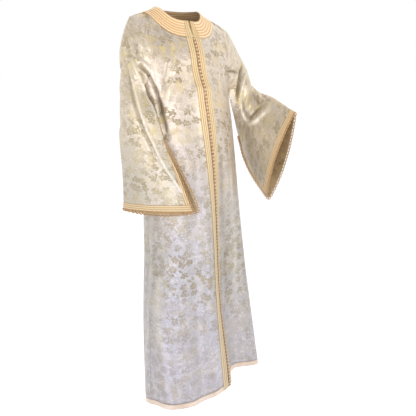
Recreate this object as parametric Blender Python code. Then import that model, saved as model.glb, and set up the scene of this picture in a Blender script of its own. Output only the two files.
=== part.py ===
"""Moroccan kaftan, worn: a long brocade gown on a hollow, wearer-less form.

Metres, +Z up. The wearer faces -Y, the wearer's left is +X, and the origin is the centre of the
neck opening at the height of the shoulder seams. Every cloth piece is a thin closed wall cut from
one shared surface, so pieces meet edge to edge with a small sewing gap.
"""
import math

import bpy
import numpy as np

MM = 0.001

# Neck opening and braid collar
NECK_HALF_WIDTH = 0.087
NECK_FRONT_REACH = 0.070
NECK_FRONT_DROP = 0.042
NECK_BACK_REACH = 0.062
NECK_BACK_DROP = 0.004
NECK_SLIT_HALF_GAP = 2.5 * MM
YOKE_HALF_WIDTH = 0.140
YOKE_FRONT_REACH = 0.098
YOKE_FRONT_DROP = 0.098
YOKE_BACK_REACH = 0.105
YOKE_BACK_DROP = 0.046
YOKE_SIDE_DROP = 0.024
YOKE_RISE_POWER = 4.0
COLLAR_RAISE = 1.0 * MM
COLLAR_WALL = 2.6 * MM
COLLAR_HOLLOW = 3.0 * MM

# Shoulders and body
SHOULDER_HALF_WIDTH = 0.200
SHOULDER_DROP = 0.045
SHOULDER_CURVE = 1.3
SHOULDER_TILT = 0.075
TILT_FADES_FROM = -0.15
TILT_FADES_TO = -0.80
CHEST_ROUND_POWER = 2.4
CHEST_RISE_POWER = 1.6
UNDERARM = -0.275
UNDERARM_SWING = 20.0
UNDERARM_SWING_FROM = -0.62
HEM = -1.430

# Sleeves, measured as shares of the way from the shoulder point down to the cuff
UNDERARM_AT = 0.35
SLIT_OPENS = 0.68
SLIT_START = 0.3
SLIT_SPREAD = 0.010
SLIT_BACK_REACH = 0.016
CUFF_BACK_DROP = 0.022
CUFF_DROP_FROM = 0.6
BULGE_POWER = 0.75

# Walls, trims and the seams between them
WALL = 1.6 * MM
TRIM_WALL = 2.0 * MM
SEAM_GAP = 0.3 * MM
SHARP_SEAM = 0.5
SHARPEST_CORNER = 0.5
BAND_WIDTH = 25.0 * MM
HEM_BAND = 18.0 * MM
CUFF_TRIM = 22.0 * MM

# Knot row of the closure
BUTTON_LANE = 6.0 * MM
BUTTON_LANE_PLAY = 0.3 * MM
KNOT_PITCH = 12.8 * MM
KNOT_HEIGHT = 4.5 * MM
KNOT_SPAN = 3.2 * MM
KNOT_VALLEY = 1.6 * MM
KNOT_VALLEY_SPAN = 2.2 * MM

# Grid of the shared surface
SKIRT_ROWS = 20
CHEST_ROWS = 9
COLLAR_ROWS = 4
BAND_SPANS = 3
NECK_SPANS = 6
SHOULDER_SPANS = 4
BACK_NECK_SPANS = 8
SLEEVE_SPANS = 9
TUBE_ROWS = 8
SLIT_ROWS = 6
BODY_EVENING = 6
SLEEVE_EVENING = 2
EVENING_SHARE = 0.5
DENSE = 240
WELD = 0.001 * MM
WELD_SHIFT = 0.37
TINY = 1e-9
SIDES = (("right", -1.0), ("left", 1.0))

# Level sections of the skirt: height, half width, reach in front of and behind the centre, centre.
SECTION_COLUMNS = ("z", "half_width", "front", "back", "centre_x", "centre_y")
SECTIONS = (
    (-1.430, 0.240, 0.130, 0.150, 0.055, -0.080),
    (-1.122, 0.222, 0.120, 0.143, 0.043, -0.062),
    (-0.840, 0.200, 0.135, 0.135, 0.033, -0.048),
    (-0.500, 0.190, 0.145, 0.126, 0.018, -0.032),
    (-0.275, 0.194, 0.145, 0.120, 0.004, -0.010),
)

# Sections of the chest between underarm and shoulder, by how far up they lie: the middle of the
# panel and its armhole edge.
# Columns: up, middle_y, middle_z, edge_x, edge_y, edge_z
FRONT_CHEST = (
    (0.36, -0.134, -0.215, 0.175, -0.084, -0.228),
    (0.70, -0.118, -0.150, 0.172, -0.076, -0.130),
)
BACK_CHEST = (
    (0.36, 0.120, -0.200, 0.182, 0.074, -0.200),
    (0.70, 0.122, -0.115, 0.180, 0.072, -0.120),
)

# Hanging folds: bearing at the top and at the hem (degrees from the centre front, wearer's left
# positive), height where it starts, height where it is full, outward depth at the hem, half width.
# Columns: top, hem, starts, full, depth, spread
FOLDS = (
    (-10.0, -9.0, -0.30, -0.90, 0.023, 9.0),
    (12.0, 12.0, -0.30, -0.90, -0.015, 9.0),
    (-14.0, 1.5, -0.80, -1.40, 0.024, 8.0),
    (26.0, 27.0, -0.55, -1.40, -0.036, 13.0),
    (50.0, 52.0, -0.50, -1.40, 0.016, 10.0),
    (-22.0, -21.0, -1.00, -1.43, -0.010, 7.0),
    (-60.0, -62.0, -0.70, -1.40, 0.010, 12.0),
    (-90.0, -97.0, -1.15, -1.43, 0.012, 8.0),
    (125.0, 120.0, -0.60, -1.40, 0.018, 11.0),
    (150.0, 148.0, -0.60, -1.40, -0.018, 10.0),
    (178.0, 176.0, -0.60, -1.40, 0.018, 11.0),
    (-150.0, -150.0, -0.60, -1.40, -0.016, 10.0),
    (-124.0, -124.0, -0.60, -1.40, 0.012, 10.0),
)

# Hem lift: bearing, rise above the lowest point of the hem.
LIFT_COLUMNS = ("bearing", "rise")
HEM_LIFT = ((-180.0, 0.014), (-100.0, 0.008), (-75.0, 0.010), (-48.0, 0.001), (-20.0, 0.019),
            (0.0, 0.070), (60.0, 0.078), (120.0, 0.050), (180.0, 0.014))

# Sleeve stations: how far down the top line, top line, underarm line, bearings of the front and of
# the back face (degrees) and their bulge off the line from underarm to top. Above the underarm the
# armhole edge takes the place of the underarm line.
# Columns: down, top x y z, underarm x y z, front and back bearing, front and back bulge
TOP_LINE = slice(1, 4)
UNDER_LINE = slice(4, 7)
BEARINGS = slice(7, 9)
BULGES = slice(9, 11)
SLEEVE_RIGHT = (
    (0.05, -0.212, 0.002, -0.054, 0.0, 0.0, 0.0, -50.0, -130.0, 0.004, 0.003),
    (0.18, -0.232, 0.005, -0.130, 0.0, 0.0, 0.0, -50.0, -135.0, 0.014, 0.007),
    (0.29, -0.239, 0.005, -0.215, 0.0, 0.0, 0.0, -40.0, -145.0, 0.032, 0.014),
    (0.35, -0.241, 0.005, -0.262, 0.0, 0.0, 0.0, -36.0, -150.0, 0.042, 0.023),
    (0.41, -0.243, 0.006, -0.300, -0.184, -0.082, -0.300, -50.0, -165.0, 0.046, 0.028),
    (0.50, -0.246, 0.007, -0.360, -0.180, -0.122, -0.350, -62.0, -200.0, 0.042, 0.028),
    (0.66, -0.249, 0.000, -0.460, -0.162, -0.152, -0.455, -58.0, -238.0, 0.038, 0.018),
    (0.83, -0.254, -0.022, -0.572, -0.130, -0.190, -0.562, -55.0, -235.0, 0.034, 0.014),
    (1.00, -0.260, -0.034, -0.684, -0.100, -0.227, -0.682, -53.0, -233.0, 0.032, 0.016),
)
SLEEVE_LEFT = (
    (0.05, 0.220, 0.000, -0.068, 0.0, 0.0, 0.0, 50.0, 130.0, 0.004, 0.004),
    (0.18, 0.257, 0.002, -0.106, 0.0, 0.0, 0.0, 50.0, 130.0, 0.014, 0.014),
    (0.29, 0.281, -0.006, -0.160, 0.0, 0.0, 0.0, 35.0, 140.0, 0.032, 0.034),
    (0.35, 0.296, -0.010, -0.188, 0.0, 0.0, 0.0, 24.0, 145.0, 0.042, 0.046),
    (0.41, 0.307, -0.018, -0.212, 0.194, -0.064, -0.326, 8.0, 155.0, 0.048, 0.052),
    (0.50, 0.319, -0.030, -0.250, 0.218, -0.056, -0.380, -12.0, 165.0, 0.054, 0.050),
    (0.63, 0.324, -0.064, -0.292, 0.252, -0.043, -0.460, -36.0, 144.0, 0.048, 0.044),
    (0.80, 0.334, -0.142, -0.315, 0.272, -0.080, -0.572, -58.0, 122.0, 0.048, 0.038),
    (1.00, 0.338, -0.262, -0.364, 0.314, -0.152, -0.688, -67.0, 113.0, 0.050, 0.035),
)


def smooth_step(value, low, high):
    """Ease from 0 at low to 1 at high."""
    part = np.clip((value - low) / (high - low), 0.0, 1.0)
    return part * part * (3.0 - 2.0 * part)


def table_column(table, columns, name):
    return np.array([row[columns.index(name)] for row in table], float)


def curve_through(knots, values, where):
    """Cubic Hermite curve through the table's values, flat-ended like a spline ruler."""
    knots = np.asarray(knots, float)
    values = np.asarray(values, float)
    order = np.argsort(knots)
    knots, values = knots[order], values[order]
    slopes = np.gradient(values, knots, axis=0)
    where = np.clip(np.asarray(where, float), knots[0], knots[-1])
    cell = np.clip(np.searchsorted(knots, where) - 1, 0, len(knots) - 2)
    width = knots[cell + 1] - knots[cell]
    t = (where - knots[cell]) / width
    if values.ndim > 1:
        t = t[..., None] if np.ndim(t) else t
        width = width[..., None] if np.ndim(width) else width
    start = (2 * t ** 3 - 3 * t ** 2 + 1) * values[cell] + (t ** 3 - 2 * t ** 2 + t) * width * slopes[cell]
    end = (3 * t ** 2 - 2 * t ** 3) * values[cell + 1] + (t ** 3 - t ** 2) * width * slopes[cell + 1]
    return start + end


def lengths_along(points):
    steps = np.linalg.norm(np.diff(points, axis=0), axis=1)
    return np.concatenate(([0.0], np.cumsum(steps)))


def points_at(points, distances):
    """Points of a polyline at the given distances along it."""
    run = lengths_along(points)
    return np.stack([np.interp(distances, run, points[:, axis]) for axis in range(3)], axis=1)


def lean(points):
    """Drop the wearer's left shoulder; the tilt fades out down the body."""
    out = np.array(points, float)
    weight = smooth_step(out[:, 2], TILT_FADES_TO, TILT_FADES_FROM)
    out[:, 2] -= SHOULDER_TILT * out[:, 0] * weight
    return out


def fold_depth(bearing, z):
    """Outward push of all folds at a bearing (degrees) and a height."""
    push = np.zeros_like(bearing)
    for top, hem, starts, full, depth, spread in FOLDS:
        down = (UNDERARM - z) / (UNDERARM - HEM)
        middle = top + (hem - top) * down
        away = (bearing - middle + 180.0) % 360.0 - 180.0
        grown = 1.0 - smooth_step(z, full, starts)
        push = push + depth * grown * np.exp(-(away / spread) ** 2)
    return push


def skirt_ring(bearings, level):
    """Points of the level ring, bearings in degrees from the centre front, wearer's left positive."""
    z_keys = table_column(SECTIONS, SECTION_COLUMNS, "z")
    size = {name: curve_through(z_keys, table_column(SECTIONS, SECTION_COLUMNS, name), level)
            for name in SECTION_COLUMNS[1:]}
    turn = np.radians(bearings)
    reach = np.where(np.cos(turn) > 0.0, size["front"], size["back"])
    push = fold_depth(bearings, level)
    x = size["centre_x"] + (size["half_width"] + push) * np.sin(turn)
    y = size["centre_y"] - (reach + push) * np.cos(turn)
    rise = curve_through(table_column(HEM_LIFT, LIFT_COLUMNS, "bearing"),
                         table_column(HEM_LIFT, LIFT_COLUMNS, "rise"), bearings)
    z = level + rise * (UNDERARM - level) / (UNDERARM - HEM)
    return np.stack([x, y, z], axis=1)


def half_bearings(side, face, level):
    """Bearings of a half panel from its middle to the side seam, which swings forward higher up."""
    seam = 90.0 - UNDERARM_SWING * smooth_step(level, UNDERARM_SWING_FROM, UNDERARM)
    middle = 0.0 if face == "front" else 180.0
    return side * np.linspace(middle, seam, DENSE)


def neck_curve(turns, half_width, front, back, front_drop, side_drop, back_drop):
    """Neckline by angle from the centre front; it falls from the sides to front and back."""
    reach = np.where(np.cos(turns) > 0.0, front, back)
    drop = np.where(np.cos(turns) > 0.0, front_drop, back_drop)
    x = half_width * np.sin(turns)
    y = -reach * np.cos(turns)
    z = -drop + (drop - side_drop) * np.abs(np.sin(turns)) ** YOKE_RISE_POWER
    return np.stack([x, y, z], axis=1)


def yoke_quarter(side, face):
    """Panel neckline from the middle (front or back) to the shoulder seam, on one side."""
    turns = np.linspace(0.0, 0.5 * math.pi, DENSE)
    if face == "back":
        turns = math.pi - turns
    return neck_curve(side * turns, YOKE_HALF_WIDTH, YOKE_FRONT_REACH, YOKE_BACK_REACH,
                      YOKE_FRONT_DROP, YOKE_SIDE_DROP, YOKE_BACK_DROP)


def shoulder_line(side):
    part = np.linspace(0.0, 1.0, DENSE // 3)
    x = YOKE_HALF_WIDTH + (SHOULDER_HALF_WIDTH - YOKE_HALF_WIDTH) * part
    z = -YOKE_SIDE_DROP - (SHOULDER_DROP - YOKE_SIDE_DROP) * part ** SHOULDER_CURVE
    return np.stack([side * x, 0.0 * x, z], axis=1)


def chest_key_rows(side, face):
    """Key rows of one half panel from the underarm ring to the neckline and shoulder seam."""
    part = np.linspace(0.0, 1.0, DENSE)
    rows = [skirt_ring(half_bearings(side, face, UNDERARM), UNDERARM)]
    ups = [0.0]
    for up, middle_y, middle_z, edge_x, edge_y, edge_z in FRONT_CHEST if face == "front" else BACK_CHEST:
        x = side * edge_x * part
        y = middle_y + (edge_y - middle_y) * part ** CHEST_ROUND_POWER
        z = middle_z + (edge_z - middle_z) * part ** CHEST_RISE_POWER
        rows.append(np.stack([x, y, z], axis=1))
        ups.append(up)
    top = np.concatenate([yoke_quarter(side, face), shoulder_line(side)[1:]])
    rows.append(points_at(top, np.linspace(0.0, lengths_along(top)[-1], DENSE)))
    ups.append(1.0)
    return np.array(ups), np.array(rows)


def panel_marks(face, length, shoulder_spans):
    """Column distances along a row: a front has its button lane and braid band before the rest."""
    if face == "back":
        return np.linspace(0.0, length, BACK_NECK_SPANS + shoulder_spans + 1)
    edge = BUTTON_LANE + BAND_WIDTH
    start = [0.0, BUTTON_LANE, BUTTON_LANE + 0.5 * BAND_WIDTH]
    return np.array(start + list(np.linspace(edge, length, NECK_SPANS + shoulder_spans + 1)))


def top_row(side, face):
    """Neckline columns, then shoulder seam columns, of one half panel."""
    yoke = yoke_quarter(side, face)
    marks = panel_marks(face, lengths_along(yoke)[-1], 0)
    seam = shoulder_line(side)
    seam_marks = np.linspace(0.0, lengths_along(seam)[-1], SHOULDER_SPANS + 1)[1:]
    return np.concatenate([points_at(yoke, marks), points_at(seam, seam_marks)])


def evened(rows, lowest, first, rounds):
    """Rows with the cloth evened out above a row and past a column; seams and edges stay."""
    for _ in range(rounds):
        part = rows[lowest:, first - 1:]
        around = part[:-2, 1:-1] + part[2:, 1:-1] + part[1:-1, :-2] + part[1:-1, 2:]
        inner = part[1:-1, 1:-1]
        part[1:-1, 1:-1] = inner + EVENING_SHARE * (around / 4.0 - inner)
    return rows


def half_panel(side, face):
    """Rows of one half panel from the hem to the shoulder, each from its middle to its side."""
    levels = [HEM] + list(np.linspace(HEM + HEM_BAND, UNDERARM, SKIRT_ROWS))
    rows = []
    for level in levels:
        ring = skirt_ring(half_bearings(side, face, level), level)
        rows.append(points_at(ring, panel_marks(face, lengths_along(ring)[-1], SHOULDER_SPANS)))
    ups, keys = chest_key_rows(side, face)
    top = top_row(side, face)
    top_share = lengths_along(top) / lengths_along(top)[-1]
    for step in range(1, CHEST_ROWS):
        up = step / CHEST_ROWS
        curve = curve_through(ups, keys, up)
        length = lengths_along(curve)[-1]
        marks = panel_marks(face, length, SHOULDER_SPANS) / length
        share = (1.0 - up) * marks + up * top_share
        if face == "front":
            share[:BAND_SPANS + 1] = marks[:BAND_SPANS + 1]
        rows.append(points_at(curve, share * length))
    rows.append(top)
    first = BAND_SPANS + 1 if face == "front" else 1
    return evened(np.array(rows), SKIRT_ROWS - 2, first, BODY_EVENING)


def collar_columns(top, side, face):
    """Rows of the collar above the neckline columns of a half panel, up to the neck rim."""
    spans = BAND_SPANS + NECK_SPANS if face == "front" else BACK_NECK_SPANS
    yoke = top[:spans + 1]
    reach = YOKE_FRONT_REACH if face == "front" else YOKE_BACK_REACH
    turns = np.arctan2(yoke[:, 0] / YOKE_HALF_WIDTH, np.abs(yoke[:, 1]) / reach)
    if face == "back":
        turns = side * math.pi - turns
    rim = neck_curve(turns, NECK_HALF_WIDTH, NECK_FRONT_REACH, NECK_BACK_REACH,
                     NECK_FRONT_DROP, 0.0, NECK_BACK_DROP)
    rows = []
    for step in range(1, COLLAR_ROWS + 1):
        part = step / COLLAR_ROWS
        row = yoke + (rim - yoke) * part
        row[:, 2] -= COLLAR_HOLLOW * math.sin(math.pi * part)
        if face == "front":
            row[0, 0] += side * NECK_SLIT_HALF_GAP * part
        rows.append(row)
    return np.array(rows)


class Surface:
    """One surface shared by all pieces: welded points, and triangles in named stretches."""

    def __init__(self):
        self.points = []
        self.known = {}
        self.stretches = {}

    def add(self, points):
        """Numbers of the points in the surface; a point already there keeps its number."""
        numbers = []
        for point in np.asarray(points, float):
            key = tuple(np.floor(point / WELD + WELD_SHIFT).astype(int))
            if key not in self.known:
                self.known[key] = len(self.points)
                self.points.append(point)
            numbers.append(self.known[key])
        return numbers

    def cover(self, name, grid, flip):
        """Cover a grid of point numbers with triangles, along each quad's shorter diagonal."""
        group = self.stretches.setdefault(name, [])
        for lower, upper in zip(grid[:-1], grid[1:]):
            for a, b, c, d in zip(lower[:-1], lower[1:], upper[1:], upper[:-1]):
                across = np.linalg.norm(self.points[a] - self.points[c])
                along = np.linalg.norm(self.points[b] - self.points[d])
                pair = ((a, b, c), (a, c, d)) if across <= along else ((a, b, d), (b, c, d))
                whole = [triangle for triangle in pair if len(set(triangle)) == 3]
                group.extend(triangle[::-1] if flip else triangle for triangle in whole)

    def normals(self, names):
        """Unit normals over the named stretches; zero where none of them reaches."""
        points = np.array(self.points)
        faces = np.array([triangle for name in names for triangle in self.stretches[name]])
        first, second, third = (points[faces[:, corner]] for corner in range(3))
        facing = np.cross(second - first, third - first)
        total = np.zeros_like(points)
        for corner in range(3):
            np.add.at(total, faces[:, corner], facing)
        return total / np.maximum(np.linalg.norm(total, axis=1), TINY ** 2)[:, None]

    def both_normals(self):
        """Normals for the body pieces and for the sleeve pieces.

        They are one where body and sleeve run on into each other, and each piece's own along the
        sharp part of the armhole seam.
        """
        limbs = [name for name in self.stretches if name.startswith(("sleeve", "cuff"))]
        body = self.normals([name for name in self.stretches if name not in limbs])
        sleeve = self.normals(limbs)
        shared = self.normals(list(self.stretches))
        sharp = (np.sum(body * sleeve, axis=1) < SHARP_SEAM)[:, None]
        seam = (np.any(body, axis=1) & np.any(sleeve, axis=1))[:, None]
        own = sharp | ~seam
        return np.where(own, body, shared), np.where(own, sleeve, shared)


def columns(grid, first, last):
    return [row[first:last + 1] for row in grid]


def lay_front(surface, name, side):
    """One front with its hem band, braid band and collar stretch.

    Returns its armhole edge, its middle edge and the column beside that.
    """
    rows = half_panel(side, "front")
    flip = side < 0.0
    grid = [surface.add(lean(row)) for row in rows]
    lanes = (("lane", 0, 1), ("band", 1, BAND_SPANS), ("field", BAND_SPANS, len(grid[0]) - 1))
    for lane, first, last in lanes:
        surface.cover(f"hem_{name}_{lane}", columns(grid[:2], first, last), flip)
        surface.cover(f"front_{name}_{lane}", columns(grid[1:], first, last), flip)
    top = rows[-1]
    upper = [surface.add(lean(row)) for row in collar_columns(top, side, "front")]
    stand = [grid[-1][:len(upper[0])]] + upper
    surface.cover(f"neck_{name}", columns(stand, 0, BAND_SPANS), flip)
    surface.cover("collar", columns(stand, BAND_SPANS, len(upper[0]) - 1), flip)
    return [row[-1] for row in grid[SKIRT_ROWS:]], [row[0] for row in grid], [row[1] for row in grid]


def lay_back(surface, side):
    """Half of the back with its hem band and collar stretch. Returns its armhole edge."""
    rows = half_panel(side, "back")
    flip = side > 0.0
    grid = [surface.add(lean(row)) for row in rows]
    surface.cover("hem_back", grid[:2], flip)
    surface.cover("back", grid[1:], flip)
    upper = [surface.add(lean(row)) for row in collar_columns(rows[-1], side, "back")]
    surface.cover("collar", [grid[-1][:len(upper[0])]] + upper, flip)
    return [row[-1] for row in grid[SKIRT_ROWS:]]


def sleeve_lines(table, shoulder, underarm):
    """A sleeve's table as an array, with a first row at the shoulder point.

    The underarm line starts at the underarm point and holds there for the rows above it.
    """
    first = np.zeros(len(table[0]))
    first[TOP_LINE] = shoulder
    first[BEARINGS] = table[0][BEARINGS]
    lines = np.vstack([first, table])
    lines[lines[:, 0] <= UNDERARM_AT, UNDER_LINE] = underarm
    return lines


def level_way(bearing):
    """Level unit vector of a bearing in degrees, zero towards the front."""
    turn = math.radians(bearing)
    return np.array([math.sin(turn), -math.cos(turn), 0.0])


def sleeve_row(lines, down, edges):
    """One row of a sleeve from its front edge over the top line to its back edge.

    Above the underarm the edges are the armhole's; below it both are the underarm line, which
    parts at the slit.
    """
    here = curve_through(lines[:, 0], lines, down)
    top = here[TOP_LINE]
    ways = [level_way(bearing) for bearing in here[BEARINGS]]
    if edges is None:
        under = here[UNDER_LINE]
        chord = (top - under) / np.linalg.norm(top - under)
        opened = 0.0
        if down > SLIT_OPENS + TINY:
            opened = SLIT_START + (1.0 - SLIT_START) * smooth_step(down, SLIT_OPENS, 1.0)
        front_edge = under + ways[0] * SLIT_SPREAD * opened
        back_edge = under + ways[1] * SLIT_SPREAD * opened - chord * SLIT_BACK_REACH * opened
    else:
        front_edge, back_edge = edges
    trimmed = smooth_step(down, UNDERARM_AT, SLIT_OPENS)
    halves = []
    for edge, way, bulge in zip((front_edge, back_edge), ways, here[BULGES]):
        across = np.linspace(0.0, 1.0, DENSE)[:, None]
        swell = np.sin(math.pi * across) ** BULGE_POWER
        curve = edge + (top - edge) * across + way * bulge * swell
        if edge is back_edge:
            curve[:, 2] -= (CUFF_BACK_DROP * swell * smooth_step(down, CUFF_DROP_FROM, 1.0))[:, 0]
        length = lengths_along(curve)[-1]
        even = np.linspace(0.0, length, SLEEVE_SPANS + 1)
        narrow = np.array([0.0] + list(np.linspace(CUFF_TRIM, length, SLEEVE_SPANS)))
        halves.append(points_at(curve, even + (narrow - even) * trimmed))
    return np.concatenate([halves[0], halves[1][::-1][1:]])


def lay_sleeve(surface, name, side, table, rising, falling):
    """One sleeve from the shoulder point down to the cuff, open along the underarm slit."""
    points = surface.points
    lines = sleeve_lines(table, points[rising[-1]], points[rising[0]])
    last_stretch = lines[-1] - lines[-2]
    trim_share = CUFF_TRIM / np.linalg.norm(last_stretch[TOP_LINE]) * last_stretch[0]
    width = 2 * SLEEVE_SPANS + 1
    rows = [np.tile(points[rising[-1]], (width, 1))]
    for step in range(1, CHEST_ROWS):
        edges = (points[rising[-1 - step]], points[falling[-1 - step]])
        rows.append(sleeve_row(lines, UNDERARM_AT * step / CHEST_ROWS, edges))
    downs = list(np.linspace(UNDERARM_AT, SLIT_OPENS, TUBE_ROWS + 1))
    downs += list(np.linspace(SLIT_OPENS, 1.0 - trim_share, SLIT_ROWS)[1:]) + [1.0]
    rows = np.array(rows + [sleeve_row(lines, down, None) for down in downs])
    evened(rows[:CHEST_ROWS + TUBE_ROWS - 1], 0, 1, SLEEVE_EVENING)
    grid = [surface.add(row) for row in rows]
    flip = side > 0.0
    slit_row = CHEST_ROWS + TUBE_ROWS
    surface.cover(f"sleeve_{name}", grid[:slit_row], flip)
    lower = grid[slit_row - 1:-1]
    surface.cover(f"cuff_{name}", columns(lower, 0, 1), flip)
    surface.cover(f"sleeve_{name}", columns(lower, 1, width - 2), flip)
    surface.cover(f"cuff_{name}", columns(lower, width - 2, width - 1), flip)
    surface.cover(f"cuff_{name}", grid[-2:], flip)


def drawn_in(points, normals, faces):
    """Piece points with its border moved in by half a sewing gap."""
    borders = {}
    for a, b, c in faces:
        for pair in ((a, b), (b, c), (c, a)):
            if pair[::-1] in borders:
                borders.pop(pair[::-1])
            else:
                borders[pair] = (a, b, c)
    moved = {}
    inward = {}
    for (a, b), corners in borders.items():
        edge = points[b] - points[a]
        edge /= np.linalg.norm(edge)
        middle = sum(points[corner] for corner in corners) / 3.0 - points[a]
        middle -= edge * (middle @ edge)
        middle /= np.linalg.norm(middle)
        for end in (a, b):
            inward.setdefault(end, []).append(middle)
    for number, ways in inward.items():
        way = sum(ways)
        way = way - normals[number] * (way @ normals[number])
        size = np.linalg.norm(way)
        if size > TINY:
            way = way / size
            lean_in = max(min(way @ each for each in ways), SHARPEST_CORNER)
            moved[number] = points[number] + way * 0.5 * SEAM_GAP / lean_in
    return moved, list(borders)


def wall_mesh(surface, normals, stretches, outer, inner):
    """Closed wall over the named stretches, its faces at two distances out from the surface."""
    faces = [triangle for name in stretches for triangle in surface.stretches[name]]
    moved, borders = drawn_in(surface.points, normals, faces)
    numbers = sorted({corner for triangle in faces for corner in triangle})
    place = {number: at for at, number in enumerate(numbers)}
    base = np.array([moved.get(number, surface.points[number]) for number in numbers])
    way = normals[numbers]
    points = np.concatenate([base + way * outer, base + way * inner])
    count = len(numbers)
    mesh_faces = [tuple(place[corner] for corner in triangle) for triangle in faces]
    mesh_faces += [tuple(place[corner] + count for corner in triangle[::-1]) for triangle in faces]
    for a, b in borders:
        start, end = place[a], place[b]
        mesh_faces.append((end, start, start + count))
        mesh_faces.append((end, start + count, end + count))
    return points, mesh_faces


def knot_rings(surface, normals, closure, beside):
    """Rings of the knot row: two to a knot, low between knots and high at each one."""
    lines = [np.array([surface.points[number] + normals[number] * SEAM_GAP for number in line])
             for line in (beside["right"], closure, beside["left"])]
    middle_normals = np.array([normals[number] for number in closure])
    run = lengths_along(lines[1])
    knots = int(run[-1] / KNOT_PITCH)
    rings = []
    for step in range(2 * knots + 1):
        row = np.interp(run[-1] * step / (2.0 * knots), run, np.arange(len(run)))
        right, centre, left = (row_point(line, row) for line in lines)
        facing = row_point(middle_normals, row)
        height = KNOT_HEIGHT if step % 2 else KNOT_VALLEY
        span = KNOT_SPAN if step % 2 else KNOT_VALLEY_SPAN
        low = 1.0 - BUTTON_LANE_PLAY / BUTTON_LANE
        right, left = centre + (right - centre) * low, centre + (left - centre) * low
        across = (left - right) / np.linalg.norm(left - right)
        crown = centre + facing * height
        rings.append((centre, right, crown - across * span, crown + across * span, left))
    return rings


def row_point(line, row):
    lower = min(int(row), len(line) - 2)
    return line[lower] + (line[lower + 1] - line[lower]) * (row - lower)


def closed_strip(rings):
    """Closed mesh through equal rings of points, with a fan at each end."""
    size = len(rings[0])
    points = [point for ring in rings for point in ring]
    faces = []
    for row in range(len(rings) - 1):
        for column in range(size):
            a = row * size + column
            b = row * size + (column + 1) % size
            faces.append((a, b, b + size))
            faces.append((a, b + size, a + size))
    last = (len(rings) - 1) * size
    for column in range(1, size - 1):
        faces.append((0, column + 1, column))
        faces.append((last, last + column, last + column + 1))
    return np.array(points), faces


def plain_material(name, colour, roughness, metallic):
    material = bpy.data.materials.new(name)
    material.use_nodes = True
    shader = material.node_tree.nodes["Principled BSDF"]
    shader.inputs["Base Color"].default_value = (*colour, 1.0)
    shader.inputs["Roughness"].default_value = roughness
    shader.inputs["Metallic"].default_value = metallic
    return material


def add_object(name, points, faces, look):
    mesh = bpy.data.meshes.new(name)
    mesh.from_pydata([tuple(point) for point in points], [], faces)
    mesh.update()
    piece = bpy.data.objects.new(name, mesh)
    piece.data.materials.append(plain_material(name, *look))
    bpy.context.scene.collection.objects.link(piece)
    return piece


BROCADE = ((0.62, 0.54, 0.43), 0.42, 0.25)
SFIFA = ((0.80, 0.60, 0.36), 0.50, 0.20)
KNOTS = ((0.72, 0.50, 0.27), 0.50, 0.20)
SATIN = ((0.78, 0.70, 0.64), 0.35, 0.0)


def build():
    for old in list(bpy.data.objects):
        bpy.data.objects.remove(old, do_unlink=True)
    surface = Surface()
    sleeves = {"right": SLEEVE_RIGHT, "left": SLEEVE_LEFT}
    beside = {}
    for name, side in SIDES:
        rising, closure, beside[name] = lay_front(surface, name, side)
        falling = lay_back(surface, side)
        lay_sleeve(surface, name, side, sleeves[name], rising, falling)
    body_normals, sleeve_normals = surface.both_normals()
    walls = {"back": (["back"], 0.0, -WALL, BROCADE), "hem_band_back": (["hem_back"], 0.0, -WALL, SATIN)}
    for name, side in SIDES:
        lanes = ("lane", "band", "field")
        walls[f"front_{name}"] = ([f"front_{name}_{lane}" for lane in lanes], 0.0, -WALL, BROCADE)
        walls[f"hem_band_front_{name}"] = ([f"hem_{name}_{lane}" for lane in lanes], 0.0, -WALL, SATIN)
        band = [f"hem_{name}_band", f"front_{name}_band", f"neck_{name}"]
        walls[f"placket_band_{name}"] = (band, SEAM_GAP + TRIM_WALL, SEAM_GAP, SFIFA)
        walls[f"sleeve_{name}"] = ([f"sleeve_{name}", f"cuff_{name}"], 0.0, -WALL, BROCADE)
        walls[f"cuff_trim_{name}"] = ([f"cuff_{name}"], SEAM_GAP + TRIM_WALL, SEAM_GAP, SFIFA)
    walls["collar"] = (["collar"], COLLAR_RAISE, COLLAR_RAISE - COLLAR_WALL, SFIFA)
    for name, (stretches, outer, inner, look) in walls.items():
        normals = sleeve_normals if stretches[-1].startswith("cuff") else body_normals
        points, faces = wall_mesh(surface, normals, stretches, outer, inner)
        add_object(name, points, faces, look)
    rings = knot_rings(surface, body_normals, closure, beside)
    add_object("button_row", *closed_strip(rings), KNOTS)


build()
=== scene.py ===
"""Looks of a long Moroccan kaftan, worn with no wearer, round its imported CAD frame.

The cloth follows the CAD surface on finer, smooth grids, with creases. Metres, +Z up; the wearer faces
-Y and the wearer's left is +X.
"""
import math

import bpy
import numpy as np
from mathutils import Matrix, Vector, noise


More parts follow.
